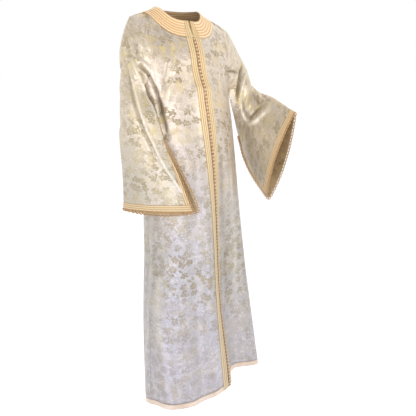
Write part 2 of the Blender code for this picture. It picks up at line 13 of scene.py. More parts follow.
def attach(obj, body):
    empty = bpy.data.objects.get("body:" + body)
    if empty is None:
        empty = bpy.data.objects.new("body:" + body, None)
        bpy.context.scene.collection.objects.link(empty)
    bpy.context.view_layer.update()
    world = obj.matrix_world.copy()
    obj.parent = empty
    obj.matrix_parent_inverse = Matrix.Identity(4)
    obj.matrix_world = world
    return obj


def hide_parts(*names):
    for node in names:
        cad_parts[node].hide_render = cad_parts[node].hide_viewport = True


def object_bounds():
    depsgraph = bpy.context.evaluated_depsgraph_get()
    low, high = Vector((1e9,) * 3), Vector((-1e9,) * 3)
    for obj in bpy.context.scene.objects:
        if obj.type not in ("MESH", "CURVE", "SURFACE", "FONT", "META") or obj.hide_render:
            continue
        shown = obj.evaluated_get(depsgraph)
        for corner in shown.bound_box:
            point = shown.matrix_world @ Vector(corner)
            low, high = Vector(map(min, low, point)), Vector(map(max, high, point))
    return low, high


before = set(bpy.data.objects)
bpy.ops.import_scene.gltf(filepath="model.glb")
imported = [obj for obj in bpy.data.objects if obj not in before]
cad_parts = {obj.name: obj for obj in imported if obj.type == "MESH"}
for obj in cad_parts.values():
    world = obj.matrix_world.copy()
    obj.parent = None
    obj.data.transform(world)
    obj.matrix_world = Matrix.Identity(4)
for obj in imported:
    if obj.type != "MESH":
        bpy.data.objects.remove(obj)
CAD_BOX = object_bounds()

MM = 0.001

# Necklines: half width, reach and drop in front, reach and drop behind, drop at the sides
YOKE_HALF_WIDTH, YOKE_FRONT_REACH, YOKE_BACK_REACH, YOKE_SIDE_DROP = 0.140, 0.098, 0.105, 0.024
YOKE = (YOKE_HALF_WIDTH, YOKE_FRONT_REACH, 0.098, YOKE_BACK_REACH, 0.046, YOKE_SIDE_DROP)
NECK = (0.087, 0.070, 0.042, 0.062, 0.004, 0.0)
NECK_SLIT_HALF_GAP = 2.5 * MM
YOKE_RISE_POWER = 4.0
COLLAR_HOLLOW = 3.0 * MM

# Shoulders and body
SHOULDER_HALF_WIDTH = 0.200
SHOULDER_DROP = 0.045
SHOULDER_CURVE = 1.3
SHOULDER_TILT = 0.075
TILT_FADES_FROM = -0.15
TILT_FADES_TO = -0.80
CHEST_ROUND_POWER = 2.4
CHEST_RISE_POWER = 1.6
UNDERARM = -0.275
UNDERARM_SWING = 20.0
UNDERARM_SWING_FROM = -0.62
HEM = -1.430

# Sleeves; places are shares of the way from the shoulder point down to the cuff
UNDERARM_AT = 0.35
SLIT_OPENS = 0.68
SLIT_START = 0.3
SLIT_SPREAD = 0.010
SLIT_BACK_REACH = 0.016
CUFF_BACK_DROP = 0.022
CUFF_DROP_FROM = 0.6
BULGE_POWER = 0.75

# Trims and the seams between pieces
SEAM_GAP = 0.3 * MM
BAND_WIDTH = 25.0 * MM
HEM_BAND = 18.0 * MM
CUFF_TRIM = 22.0 * MM

# Knot row of the closure, in the lane between its two bands
BUTTON_LANE = 6.0 * MM
KNOT_PITCH = 12.8 * MM

# Grid of the shared surface
SKIRT_ROWS = 20
CHEST_ROWS = 9
COLLAR_ROWS = 4
BAND_SPANS = 3
NECK_SPANS = 6
SHOULDER_SPANS = 4
BACK_NECK_SPANS = 8
SLEEVE_SPANS = 9
TUBE_ROWS = 8
SLIT_ROWS = 6
BODY_EVENING = 6
SLEEVE_EVENING = 2
EVENING_SHARE = 0.5
DENSE = 240
TINY = 1e-9

# Level sections of the skirt
# Columns: height, half width, reach in front of and behind the centre, centre x, centre y
SECTIONS = np.array((
    (-1.430, 0.240, 0.130, 0.150, 0.055, -0.080),
    (-1.122, 0.222, 0.120, 0.143, 0.043, -0.062),
    (-0.840, 0.200, 0.135, 0.135, 0.033, -0.048),
    (-0.500, 0.190, 0.145, 0.126, 0.018, -0.032),
    (-0.275, 0.194, 0.145, 0.120, 0.004, -0.010),
))

# Sections of the chest between underarm and shoulder, by how far up they lie: the middle of the
# panel and its armhole edge.
# Columns: up, middle_y, middle_z, edge_x, edge_y, edge_z
FRONT_CHEST = (
    (0.36, -0.134, -0.215, 0.175, -0.084, -0.228),
    (0.70, -0.118, -0.150, 0.172, -0.076, -0.130),
)
BACK_CHEST = (
    (0.36, 0.120, -0.200, 0.182, 0.074, -0.200),
    (0.70, 0.122, -0.115, 0.180, 0.072, -0.120),
)

# Hanging folds: bearing at the top and at the hem (degrees from the centre front, wearer's left
# positive), height where it starts, height where it is full, outward depth at the hem, half width.
# Columns: top, hem, starts, full, depth, spread
FOLDS = (
    (-10.0, -9.0, -0.30, -0.90, 0.023, 9.0),
    (12.0, 12.0, -0.30, -0.90, -0.015, 9.0),
    (-14.0, 1.5, -0.80, -1.40, 0.024, 8.0),
    (26.0, 27.0, -0.55, -1.40, -0.036, 13.0),
    (50.0, 52.0, -0.50, -1.40, 0.016, 10.0),
    (-22.0, -21.0, -1.00, -1.43, -0.010, 7.0),
    (-60.0, -62.0, -0.70, -1.40, 0.010, 12.0),
    (-90.0, -97.0, -1.15, -1.43, 0.012, 8.0),
    (125.0, 120.0, -0.60, -1.40, 0.018, 11.0),
    (150.0, 148.0, -0.60, -1.40, -0.018, 10.0),
    (178.0, 176.0, -0.60, -1.40, 0.018, 11.0),
    (-150.0, -150.0, -0.60, -1.40, -0.016, 10.0),
    (-124.0, -124.0, -0.60, -1.40, 0.012, 10.0),
)

# Hem lift: bearing, rise above the lowest point of the hem.
HEM_LIFT = np.array(((-180.0, 0.014), (-100.0, 0.008), (-75.0, 0.010), (-48.0, 0.001), (-20.0, 0.019),
                     (0.0, 0.070), (60.0, 0.078), (120.0, 0.050), (180.0, 0.014)))

# Sleeve stations: how far down the top line, top line, underarm line, bearings of the front and of
# the back face (degrees) and their bulge off the line from underarm to top. Above the underarm the
# armhole edge takes the place of the underarm line.
# Columns: down, top x y z, underarm x y z, front and back bearing, front and back bulge
TOP_LINE = slice(1, 4)
UNDER_LINE = slice(4, 7)
BEARINGS = slice(7, 9)
BULGES = slice(9, 11)
SLEEVE_RIGHT = (
    (0.05, -0.212, 0.002, -0.054, 0.0, 0.0, 0.0, -50.0, -130.0, 0.004, 0.003),
    (0.18, -0.232, 0.005, -0.130, 0.0, 0.0, 0.0, -50.0, -135.0, 0.014, 0.007),
    (0.29, -0.239, 0.005, -0.215, 0.0, 0.0, 0.0, -40.0, -145.0, 0.032, 0.014),
    (0.35, -0.241, 0.005, -0.262, 0.0, 0.0, 0.0, -36.0, -150.0, 0.042, 0.023),
    (0.41, -0.243, 0.006, -0.300, -0.184, -0.082, -0.300, -50.0, -165.0, 0.046, 0.028),
    (0.50, -0.246, 0.007, -0.360, -0.180, -0.122, -0.350, -62.0, -200.0, 0.042, 0.028),
    (0.66, -0.249, 0.000, -0.460, -0.162, -0.152, -0.455, -58.0, -238.0, 0.038, 0.018),
    (0.83, -0.254, -0.022, -0.572, -0.130, -0.190, -0.562, -55.0, -235.0, 0.034, 0.014),
    (1.00, -0.260, -0.034, -0.684, -0.100, -0.227, -0.682, -53.0, -233.0, 0.032, 0.016),
)
SLEEVE_LEFT = (
    (0.05, 0.220, 0.000, -0.068, 0.0, 0.0, 0.0, 50.0, 130.0, 0.004, 0.004),
    (0.18, 0.257, 0.002, -0.106, 0.0, 0.0, 0.0, 50.0, 130.0, 0.014, 0.014),
    (0.29, 0.281, -0.006, -0.160, 0.0, 0.0, 0.0, 35.0, 140.0, 0.032, 0.034),
    (0.35, 0.296, -0.010, -0.188, 0.0, 0.0, 0.0, 24.0, 145.0, 0.042, 0.046),
    (0.41, 0.307, -0.018, -0.212, 0.194, -0.064, -0.326, 8.0, 155.0, 0.048, 0.052),
    (0.50, 0.319, -0.030, -0.250, 0.218, -0.056, -0.380, -12.0, 165.0, 0.054, 0.050),
    (0.63, 0.324, -0.064, -0.292, 0.252, -0.043, -0.460, -36.0, 144.0, 0.048, 0.044),
    (0.80, 0.334, -0.142, -0.315, 0.272, -0.080, -0.572, -58.0, 122.0, 0.048, 0.038),
    (1.00, 0.338, -0.262, -0.364, 0.314, -0.152, -0.688, -67.0, 113.0, 0.050, 0.035),
)


def smooth_step(value, low, high):
    """Ease from 0 at low to 1 at high."""
    part = np.clip((value - low) / (high - low), 0.0, 1.0)
    return part * part * (3.0 - 2.0 * part)


def cubic(values, slopes, cell, t, width=1.0):
    """Hermite cubics between neighbouring values; t is the share of the way through each cell."""
    start = (2 * t ** 3 - 3 * t ** 2 + 1) * values[cell] + (t ** 3 - 2 * t ** 2 + t) * width * slopes[cell]
    end = (3 * t ** 2 - 2 * t ** 3) * values[cell + 1] + (t ** 3 - t ** 2) * width * slopes[cell + 1]
    return start + end


def curve_through(knots, values, where):
    """Smooth curve through the table's values, held at its ends."""
    knots = np.asarray(knots, float)
    values = np.asarray(values, float)
    order = np.argsort(knots)
    knots, values = knots[order], values[order]
    slopes = np.gradient(values, knots, axis=0)
    where = np.clip(np.asarray(where, float), knots[0], knots[-1])
    cell = np.clip(np.searchsorted(knots, where) - 1, 0, len(knots) - 2)
    width = knots[cell + 1] - knots[cell]
    t = (where - knots[cell]) / width
    if values.ndim > 1:
        t = t[..., None] if np.ndim(t) else t
        width = width[..., None] if np.ndim(width) else width
    return cubic(values, slopes, cell, t, width)


def lengths_along(points):
    steps = np.linalg.norm(np.diff(points, axis=0), axis=1)
    return np.concatenate(([0.0], np.cumsum(steps)))


def points_at(points, distances):
    """Points of a polyline at the given distances along it."""
    run = lengths_along(points)
    return np.stack([np.interp(distances, run, points[:, axis]) for axis in range(3)], axis=1)


def lean(points):
    """Drop the wearer's left shoulder; the tilt fades out down the body."""
    out = np.array(points, float)
    out[..., 2] -= SHOULDER_TILT * out[..., 0] * smooth_step(out[..., 2], TILT_FADES_TO, TILT_FADES_FROM)
    return out


def unit(vectors):
    return vectors / np.linalg.norm(vectors, axis=-1, keepdims=True)


def fold_depth(bearing, z):
    """Outward push of all folds at a bearing (degrees) and a height."""
    push = np.zeros_like(bearing)
    for top, hem, starts, full, depth, spread in FOLDS:
        down = (UNDERARM - z) / (UNDERARM - HEM)
        middle = top + (hem - top) * down
        away = (bearing - middle + 180.0) % 360.0 - 180.0
        grown = 1.0 - smooth_step(z, full, starts)
        push = push + depth * grown * np.exp(-(away / spread) ** 2)
    return push


def skirt_ring(bearings, level):
    """Points of the level ring, bearings in degrees from the centre front, wearer's left positive."""
    half_width, front, back, centre_x, centre_y = curve_through(SECTIONS[:, 0], SECTIONS[:, 1:], level)
    turn = np.radians(bearings)
    reach = np.where(np.cos(turn) > 0.0, front, back)
    push = fold_depth(bearings, level)
    x = centre_x + (half_width + push) * np.sin(turn)
    y = centre_y - (reach + push) * np.cos(turn)
    rise = curve_through(HEM_LIFT[:, 0], HEM_LIFT[:, 1], bearings)
    z = level + rise * (UNDERARM - level) / (UNDERARM - HEM)
    return np.stack([x, y, z], axis=1)


def half_bearings(side, face, level):
    """Bearings of a half panel from its middle to the side seam, which swings forward higher up."""
    seam = 90.0 - UNDERARM_SWING * smooth_step(level, UNDERARM_SWING_FROM, UNDERARM)
    middle = 0.0 if face == "front" else 180.0
    return side * np.linspace(middle, seam, DENSE)


def neck_curve(turns, half_width, front, front_drop, back, back_drop, side_drop):
    """Neckline by angle from the centre front; it falls from the sides to front and back."""
    reach = np.where(np.cos(turns) > 0.0, front, back)
    drop = np.where(np.cos(turns) > 0.0, front_drop, back_drop)
    x = half_width * np.sin(turns)
    y = -reach * np.cos(turns)
    z = -drop + (drop - side_drop) * np.abs(np.sin(turns)) ** YOKE_RISE_POWER
    return np.stack([x, y, z], axis=1)


def yoke_quarter(side, face):
    """Panel neckline from the middle (front or back) to the shoulder seam, on one side."""
    turns = np.linspace(0.0, 0.5 * math.pi, DENSE)
    if face == "back":
        turns = math.pi - turns
    return neck_curve(side * turns, *YOKE)


def shoulder_line(side):
    part = np.linspace(0.0, 1.0, DENSE // 3)
    x = YOKE_HALF_WIDTH + (SHOULDER_HALF_WIDTH - YOKE_HALF_WIDTH) * part
    z = -YOKE_SIDE_DROP - (SHOULDER_DROP - YOKE_SIDE_DROP) * part ** SHOULDER_CURVE
    return np.stack([side * x, 0.0 * x, z], axis=1)


def chest_key_rows(side, face):
    """Key rows of one half panel from the underarm ring to the neckline and shoulder seam."""
    part = np.linspace(0.0, 1.0, DENSE)
    rows = [skirt_ring(half_bearings(side, face, UNDERARM), UNDERARM)]
    ups = [0.0]
    for up, middle_y, middle_z, edge_x, edge_y, edge_z in FRONT_CHEST if face == "front" else BACK_CHEST:
        x = side * edge_x * part
        y = middle_y + (edge_y - middle_y) * part ** CHEST_ROUND_POWER
        z = middle_z + (edge_z - middle_z) * part ** CHEST_RISE_POWER
        rows.append(np.stack([x, y, z], axis=1))
        ups.append(up)
    top = np.concatenate([yoke_quarter(side, face), shoulder_line(side)[1:]])
    rows.append(points_at(top, np.linspace(0.0, lengths_along(top)[-1], DENSE)))
    ups.append(1.0)
    return np.array(ups), np.array(rows)


def panel_marks(face, length, shoulder_spans):
    """Column distances along a row: a front has its button lane and braid band before the rest."""
    if face == "back":
        return np.linspace(0.0, length, BACK_NECK_SPANS + shoulder_spans + 1)
    edge = BUTTON_LANE + BAND_WIDTH
    start = [0.0, BUTTON_LANE, BUTTON_LANE + 0.5 * BAND_WIDTH]
    return np.array(start + list(np.linspace(edge, length, NECK_SPANS + shoulder_spans + 1)))


def top_row(side, face):
    """Neckline columns, then shoulder seam columns, of one half panel."""
    yoke = yoke_quarter(side, face)
    marks = panel_marks(face, lengths_along(yoke)[-1], 0)
    seam = shoulder_line(side)
    seam_marks = np.linspace(0.0, lengths_along(seam)[-1], SHOULDER_SPANS + 1)[1:]
    return np.concatenate([points_at(yoke, marks), points_at(seam, seam_marks)])


def evened(rows, lowest, first, rounds):
    """Rows with the cloth evened out above a row and past a column; seams and edges stay."""
    for _ in range(rounds):
        part = rows[lowest:, first - 1:]
        around = part[:-2, 1:-1] + part[2:, 1:-1] + part[1:-1, :-2] + part[1:-1, 2:]
        inner = part[1:-1, 1:-1]
        part[1:-1, 1:-1] = inner + EVENING_SHARE * (around / 4.0 - inner)
    return rows


def half_panel(side, face):
    """Rows of one half panel from the hem to the shoulder, each from its middle to its side."""
    levels = [HEM] + list(np.linspace(HEM + HEM_BAND, UNDERARM, SKIRT_ROWS))
    rows = []
    for level in levels:
        ring = skirt_ring(half_bearings(side, face, level), level)
        rows.append(points_at(ring, panel_marks(face, lengths_along(ring)[-1], SHOULDER_SPANS)))
    ups, keys = chest_key_rows(side, face)
    top = top_row(side, face)
    top_share = lengths_along(top) / lengths_along(top)[-1]
    for step in range(1, CHEST_ROWS):
        up = step / CHEST_ROWS
        curve = curve_through(ups, keys, up)
        length = lengths_along(curve)[-1]
        marks = panel_marks(face, length, SHOULDER_SPANS) / length
        share = (1.0 - up) * marks + up * top_share
        if face == "front":
            share[:BAND_SPANS + 1] = marks[:BAND_SPANS + 1]
        rows.append(points_at(curve, share * length))
    rows.append(top)
    first = BAND_SPANS + 1 if face == "front" else 1
    return evened(np.array(rows), SKIRT_ROWS - 2, first, BODY_EVENING)


def collar_columns(top, side, face):
    """Rows of the collar above the neckline columns of a half panel, up to the neck rim."""
    spans = BAND_SPANS + NECK_SPANS if face == "front" else BACK_NECK_SPANS
    yoke = top[:spans + 1]
    reach = YOKE_FRONT_REACH if face == "front" else YOKE_BACK_REACH
    turns = np.arctan2(yoke[:, 0] / YOKE_HALF_WIDTH, np.abs(yoke[:, 1]) / reach)
    if face == "back":
        turns = side * math.pi - turns
    rim = neck_curve(turns, *NECK)
    rows = []
    for step in range(1, COLLAR_ROWS + 1):
        part = step / COLLAR_ROWS
        row = yoke + (rim - yoke) * part
        row[:, 2] -= COLLAR_HOLLOW * math.sin(math.pi * part)
        if face == "front":
            row[0, 0] += side * NECK_SLIT_HALF_GAP * part
        rows.append(row)
    return np.array(rows)


def sleeve_lines(table, shoulder, underarm):
    """A sleeve's table as an array, with a first row at the shoulder point.

    The underarm line starts at the underarm point and holds there for the rows above it.
    """
    first = np.zeros(len(table[0]))
    first[TOP_LINE] = shoulder
    first[BEARINGS] = table[0][BEARINGS]
    lines = np.vstack([first, table])
    lines[lines[:, 0] <= UNDERARM_AT, UNDER_LINE] = underarm
    return lines


def level_way(bearing):
    """Level unit vector of a bearing in degrees, zero towards the front."""
    turn = math.radians(bearing)
    return np.array([math.sin(turn), -math.cos(turn), 0.0])


def sleeve_row(lines, down, edges):
    """One row of a sleeve from its front edge over the top line to its back edge.

    Above the underarm the edges are the armhole's; below it both are the underarm line, which
    parts at the slit.
    """
    here = curve_through(lines[:, 0], lines, down)
    top = here[TOP_LINE]
    ways = [level_way(bearing) for bearing in here[BEARINGS]]
    if edges is None:
        under = here[UNDER_LINE]
        chord = unit(top - under)
        opened = 0.0
        if down > SLIT_OPENS + TINY:
            opened = SLIT_START + (1.0 - SLIT_START) * smooth_step(down, SLIT_OPENS, 1.0)
        front_edge = under + ways[0] * SLIT_SPREAD * opened
        back_edge = under + ways[1] * SLIT_SPREAD * opened - chord * SLIT_BACK_REACH * opened
    else:
        front_edge, back_edge = edges
    trimmed = smooth_step(down, UNDERARM_AT, SLIT_OPENS)
    halves = []
    for edge, way, bulge in zip((front_edge, back_edge), ways, here[BULGES]):
        across = np.linspace(0.0, 1.0, DENSE)[:, None]
        swell = np.sin(math.pi * across) ** BULGE_POWER
        curve = edge + (top - edge) * across + way * bulge * swell
        if edge is back_edge:
            curve[:, 2] -= (CUFF_BACK_DROP * swell * smooth_step(down, CUFF_DROP_FROM, 1.0))[:, 0]
        length = lengths_along(curve)[-1]
        even = np.linspace(0.0, length, SLEEVE_SPANS + 1)
        narrow = np.array([0.0] + list(np.linspace(CUFF_TRIM, length, SLEEVE_SPANS)))
        halves.append(points_at(curve, even + (narrow - even) * trimmed))
    return np.concatenate([halves[0], halves[1][::-1][1:]])


def row_point(line, row):
    lower = min(int(row), len(line) - 2)
    return line[lower] + (line[lower + 1] - line[lower]) * (row - lower)


# --- the cloth as smooth grids -----------------------------------------------------------------

# How many spans take the place of each coarse one, down and across, and the thickness shown
FINE = 5
SLEEVE_FINE = 8
SLEEVE_ACROSS = 9
THIN = 1.2 * MM


def catmull(values, times):
    """Points on smooth curves through the rows of an array, times as many spans."""
    count = len(values)
    slopes = np.gradient(values, axis=0)
    where = np.arange((count - 1) * times + 1) / times
    cell = np.minimum(where.astype(int), count - 2)
    t = (where - cell).reshape((-1,) + (1,) * (values.ndim - 1))
    return cubic(values, slopes, cell, t)


def refined(grid, down=FINE, across=FINE):
    tall = catmull(np.asarray(grid, float), down)
    return np.swapaxes(catmull(np.swapaxes(tall, 0, 1), across), 0, 1)


def grid_normals(grid, side):
    """Unit normals of a grid; side is +1 or -1 and turns them outward."""
    along = np.gradient(grid, axis=0)
    across = np.gradient(grid, axis=1)
    facing = side * np.cross(across, along)
    size = np.linalg.norm(facing, axis=2, keepdims=True)
    facing = facing / np.maximum(size, TINY)
    for end, beside in ((0, 1), (-1, -2)):
        if size[end].min() < TINY:
            facing[end] = facing[beside]
    return facing


# --- creases -----------------------------------------------------------------------------------

# Each crease, in millimetres: the pieces it runs over, depth outward, half width and line. The lines in
# front were picked on the photo and carried onto the cloth.
CREASES = (
    ("sleeve_right", 8.0, 5.5, ((-227, -13, -134), (-230, -61, -250), (-228, -93, -332),
        (-217, -118, -402), (-187, -152, -496), (-173, -170, -536), (-154, -190, -576),
        (-134, -207, -614))),
    ("sleeve_right", -4.5, 8.0, ((-228, -26, -161), (-234, -47, -227), (-237, -77, -306),
        (-230, -104, -378), (-213, -123, -435), (-198, -142, -485))),
    ("sleeve_right", 7.5, 5.0, ((-220, -44, -167), (-216, -64, -213), (-192, -71, -271),
        (-183, -101, -324), (-180, -127, -359))),
    ("sleeve_right front_right", -10.0, 5.0, ((-207, -66, -190), (-197, -75, -203), (-183, -81, -215),
        (-170, -82, -237), (-160, -86, -261), (-153, -93, -288), (-150, -97, -322), (-146, -102, -352))),
    ("front_right", -6.0, 7.0, ((-146, -100, -308), (-144, -105, -349), (-140, -111, -383),
        (-134, -117, -417))),
    ("sleeve_right", -5.0, 5.0, ((-207, -69, -207), (-199, -75, -223), (-189, -73, -244))),
    ("sleeve_right front_right", 6.0, 7.0, ((-200, -68, -174), (-184, -81, -197), (-170, -85, -224),
        (-159, -88, -254))),
    ("sleeve_right", 3.0, 9.0, ((-193, -47, -94), (-191, -63, -127), (-182, -79, -164))),
    ("sleeve_right", -3.0, 8.0, ((-209, -35, -107), (-206, -54, -147), (-198, -71, -184))),
    ("sleeve_left", -9.0, 6.0, ((259, -56, -201), (240, -70, -223), (226, -77, -259), (217, -80, -295),
        (214, -78, -325))),
    ("sleeve_left", 6.0, 6.0, ((282, -52, -217), (252, -76, -245), (236, -84, -274), (225, -86, -306))),
    ("sleeve_left front_left", -7.0, 5.0, ((161, -92, -218), (190, -80, -219), (220, -73, -221))),
    ("sleeve_left", -5.5, 8.0, ((236, -90, -325), (247, -89, -363), (262, -98, -389), (277, -112, -370),
        (296, -124, -348))),
    ("sleeve_left", 5.5, 9.0, ((232, -84, -355), (247, -83, -393), (257, -102, -415), (269, -126, -399),
        (289, -143, -373), (307, -161, -354))),
    ("sleeve_left", -4.0, 5.0, ((302, -71, -299), (298, -90, -324), (298, -110, -338),
        (309, -120, -330))),
    ("sleeve_left", 3.0, 5.0, ((324, -74, -298), (313, -99, -317), (313, -121, -327), (324, -130, -319))),
    ("sleeve_left", -3.0, 5.0, ((326, -106, -309), (317, -127, -325), (321, -146, -329))),
    ("front_right", -3.0, 8.0, ((-118, -110, -181), (-126, -111, -221), (-133, -109, -261),
        (-138, -107, -301))),
    ("front_right", 2.5, 7.0, ((-102, -115, -181), (-110, -119, -228), (-118, -120, -275),
        (-128, -116, -322))),
    ("front_right", 2.5, 12.0, ((-161, -94, -948), (-169, -95, -1059), (-170, -104, -1140),
        (-165, -122, -1204))),
    ("front_right back", 2.0, 9.0, ((-164, -61, -733), (-171, -59, -955), (-178, -55, -1098),
        (-181, -46, -1224), (-172, -23, -1337))),
    ("front_left", -3.5, 12.0, ((70, -172, -491), (76, -177, -672), (103, -162, -904),
        (124, -150, -1067))),
    ("front_left", 2.0, 10.0, ((121, -154, -496), (128, -160, -681), (153, -149, -915),
        (166, -147, -1076))),
    ("sleeve_right", -6.0, 8.0, ((-235, 10, -200), (-215, -9, -260), (-190, -65, -300))),
    ("sleeve_right", 5.0, 9.0, ((-240, 1, -250), (-225, -4, -340), (-200, -45, -430))),
    ("sleeve_right", -4.0, 12.0, ((-220, -23, -450), (-200, -67, -550), (-170, -108, -620))),
    ("sleeve_left", -6.0, 8.0, ((280, 8, -220), (250, -6, -270), (220, -34, -310))),
    ("sleeve_left", 5.0, 9.0, ((300, 0, -250), (280, -3, -340), (270, -25, -420))),
    ("sleeve_left", -4.0, 12.0, ((310, -9, -330), (310, -43, -450), (300, -80, -560))),
    ("back", -4.0, 20.0, ((-75, 97, -250), (-80, 79, -400), (-70, 72, -550), (-60, 72, -700))),
    ("back", -4.0, 22.0, ((90, 89, -300), (100, 78, -450), (100, 76, -600), (90, 81, -800))),
    ("back", 3.0, 24.0, ((10, 90, -450), (20, 87, -700), (30, 91, -900), (30, 89, -1100))),
    ("back", -5.0, 10.0, ((-170, 62, -200), (-140, 64, -260), (-100, 77, -330))),
    ("back", -5.0, 10.0, ((175, 55, -230), (150, 61, -290), (110, 78, -360))),
    ("back", 4.0, 9.0, ((-165, 41, -240), (-150, 47, -310), (-120, 62, -380))),
)
UNEVEN = 1.2 * MM
SLEEVE_UNEVEN = 0.5 * MM
UNEVEN_SCALE = (9.0, 9.0, 3.5)
CREASE_ENDS = 0.2
# DEEP_CREASE: crease depth in mm at which the painted trough shade and the painted ridge highlight are
# full
DEEP_CREASE = 7.0


def line_distance(points, line):
    """Distance of each point to a polyline, and how far along it the nearest spot is (0 to 1)."""
    run = lengths_along(line)
    best = np.full(len(points), np.inf)
    share = np.zeros(len(points))
    for start, end, begun in zip(line[:-1], line[1:], run[:-1]):
        way = end - start
        size = np.linalg.norm(way)
        t = np.clip((points - start) @ way / size ** 2, 0.0, 1.0)
        away = np.linalg.norm(points - start - t[:, None] * way, axis=1)
        nearer = away < best
        best = np.where(nearer, away, best)
        share = np.where(nearer, (begun + t * size) / run[-1], share)
    return best, share


def creased(name, grid, normals):
    """The grid with its creases and the slight unevenness of worn cloth, and its fold marks.

    A fold mark runs from -1 in a deep trough to +1 on a high ridge; it places painted shade in troughs and
    a painted highlight on ridges.
    """
    flat = grid.reshape(-1, 3)
    push, fold = np.zeros(len(flat)), np.zeros(len(flat))
    for pieces, depth, width, line in CREASES:
        if name in pieces.split():
            away, share = line_distance(flat, np.array(line) * MM)
            fade = smooth_step(np.minimum(share, 1.0 - share), -CREASE_ENDS, CREASE_ENDS)
            here = fade * np.exp(-(away / (width * MM)) ** 2)
            push += depth * MM * here
            fold += np.clip(depth / DEEP_CREASE, -1.0, 1.0) * here
    uneven = SLEEVE_UNEVEN if name.startswith("sleeve") else UNEVEN
    for number, point in enumerate(flat * UNEVEN_SCALE):
        push[number] += uneven * noise.noise(Vector(point))
    shape = grid.shape[:2] + (1,)
    return grid + normals * push.reshape(shape), np.clip(fold, -1.0, 1.0).reshape(shape)


# --- meshes ------------------------------------------------------------------------------------

def cloth_uv(grid):
    """Cloth coordinates in metres: along each row from its start, and down the rows on average."""
    across = np.cumsum(np.linalg.norm(np.diff(grid, axis=1), axis=2), axis=1)
    u = np.concatenate([np.zeros((len(grid), 1)), across], axis=1)
    down = np.linalg.norm(np.diff(grid, axis=0), axis=2).mean(axis=1)
    v = np.concatenate([[0.0], np.cumsum(down)])
    return np.stack([u, np.repeat(v[:, None], grid.shape[1], axis=1)], axis=2)


def shell_parts(grid, normals, outer, inner, uv, side):
    """Vertices, faces, face uvs and inside marks of a closed thin shell over a grid."""
    number = np.arange(grid[..., 0].size).reshape(grid.shape[:2])
    points = np.concatenate([(grid + normals * lift).reshape(-1, 3) for lift in (outer, inner)])
    corners = (number[:-1, :-1], number[:-1, 1:], number[1:, 1:], number[1:, :-1])
    quads = np.stack(corners, axis=-1).reshape(-1, 4)
    ring = np.concatenate([number[0, :-1], number[:-1, -1], number[-1, :0:-1], number[:0:-1, 0]])
    after = np.roll(ring, -1)
    rim = np.stack([after, ring, ring + number.size, after + number.size], axis=-1)
    faces = np.concatenate([quads, quads[:, ::-1] + number.size, rim])
    marks = [0] * len(quads) + [1] * len(quads) + [0] * len(rim)
    uvs = uv.reshape(number.size, -1)[faces % number.size]
    return (points, faces, uvs, marks) if side > 0 else (points, faces[:, ::-1], uvs[:, ::-1], marks)


def mesh_piece(name, parts, materials, node=None):
    """One piece from shell parts, riding on the root and standing for its CAD node."""
    points, faces, uvs, marks = [], [], [], []
    for part_points, part_faces, part_uvs, part_marks in parts:
        shift = sum(len(group) for group in points)
        points.append(part_points)
        faces += [tuple(int(corner) + shift for corner in face) for face in part_faces]
        uvs += list(part_uvs)
        marks += list(part_marks)
    mesh = bpy.data.meshes.new(name)
    mesh.from_pydata(np.concatenate(points).tolist(), [], faces)
    layer = mesh.uv_layers.new(name="cloth")
    corners = np.concatenate(uvs)
    layer.data.foreach_set("uv", corners[:, :2].reshape(-1))
    # The third uv part is the fold mark, which places painted shade in troughs and painted highlights on
    # ridges
    if corners.shape[1] > 2:
        folds = np.stack([corners[:, 2], corners[:, 2]], axis=1)
        mesh.uv_layers.new(name="fold").data.foreach_set("uv", folds.reshape(-1))
    for material in materials:
        mesh.materials.append(material)
    mesh.polygons.foreach_set("material_index", [min(mark, len(materials) - 1) for mark in marks])
    mesh.polygons.foreach_set("use_smooth", [True] * len(faces))
    mesh.validate(clean_customdata=False)
    mesh.update()
    piece = bpy.data.objects.new(name, mesh)
    bpy.context.scene.collection.objects.link(piece)
    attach(piece, "root")
    if node:
        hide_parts(node)
    return piece


# --- grids of each piece -----------------------------------------------------------------------

HEM_ROWS = FINE
SIGN = {"right": -1.0, "left": 1.0}
SLEEVE_TABLES = {"right": SLEEVE_RIGHT, "left": SLEEVE_LEFT}


def collar_rows(side, face):
    top = top_row(side, face)
    upper = collar_columns(top, side, face)
    return lean([top[:upper.shape[1]], *upper])


def sleeve_rows(table, front_edge, back_edge):
    """Coarse rows of a sleeve: armhole rows, tube rows, then rows of the open cuff."""
    lines = sleeve_lines(table, front_edge[-1], front_edge[0])
    last_stretch = lines[-1] - lines[-2]
    trim_share = CUFF_TRIM / np.linalg.norm(last_stretch[TOP_LINE]) * last_stretch[0]
    rows = [np.tile(front_edge[-1], (2 * SLEEVE_SPANS + 1, 1))]
    for step in range(1, CHEST_ROWS):
        edges = (front_edge[-1 - step], back_edge[-1 - step])
        rows.append(sleeve_row(lines, UNDERARM_AT * step / CHEST_ROWS, edges))
    downs = list(np.linspace(UNDERARM_AT, SLIT_OPENS, TUBE_ROWS + 1))
    downs += list(np.linspace(SLIT_OPENS, 1.0 - trim_share, SLIT_ROWS)[1:]) + [1.0]
    rows = np.array(rows + [sleeve_row(lines, down, None) for down in downs])
    evened(rows[:CHEST_ROWS + TUBE_ROWS - 1], 0, 1, SLEEVE_EVENING)
    return rows


# --- materials ---------------------------------------------------------------------------------

def srgb(red, green, blue):
    """Linear colour from 8-bit display values."""
    parts = [value / 255.0 for value in (red, green, blue)]
    return (*(part / 12.92 if part <= 0.04045 else ((part + 0.055) / 1.055) ** 2.4 for part in parts), 1.0)


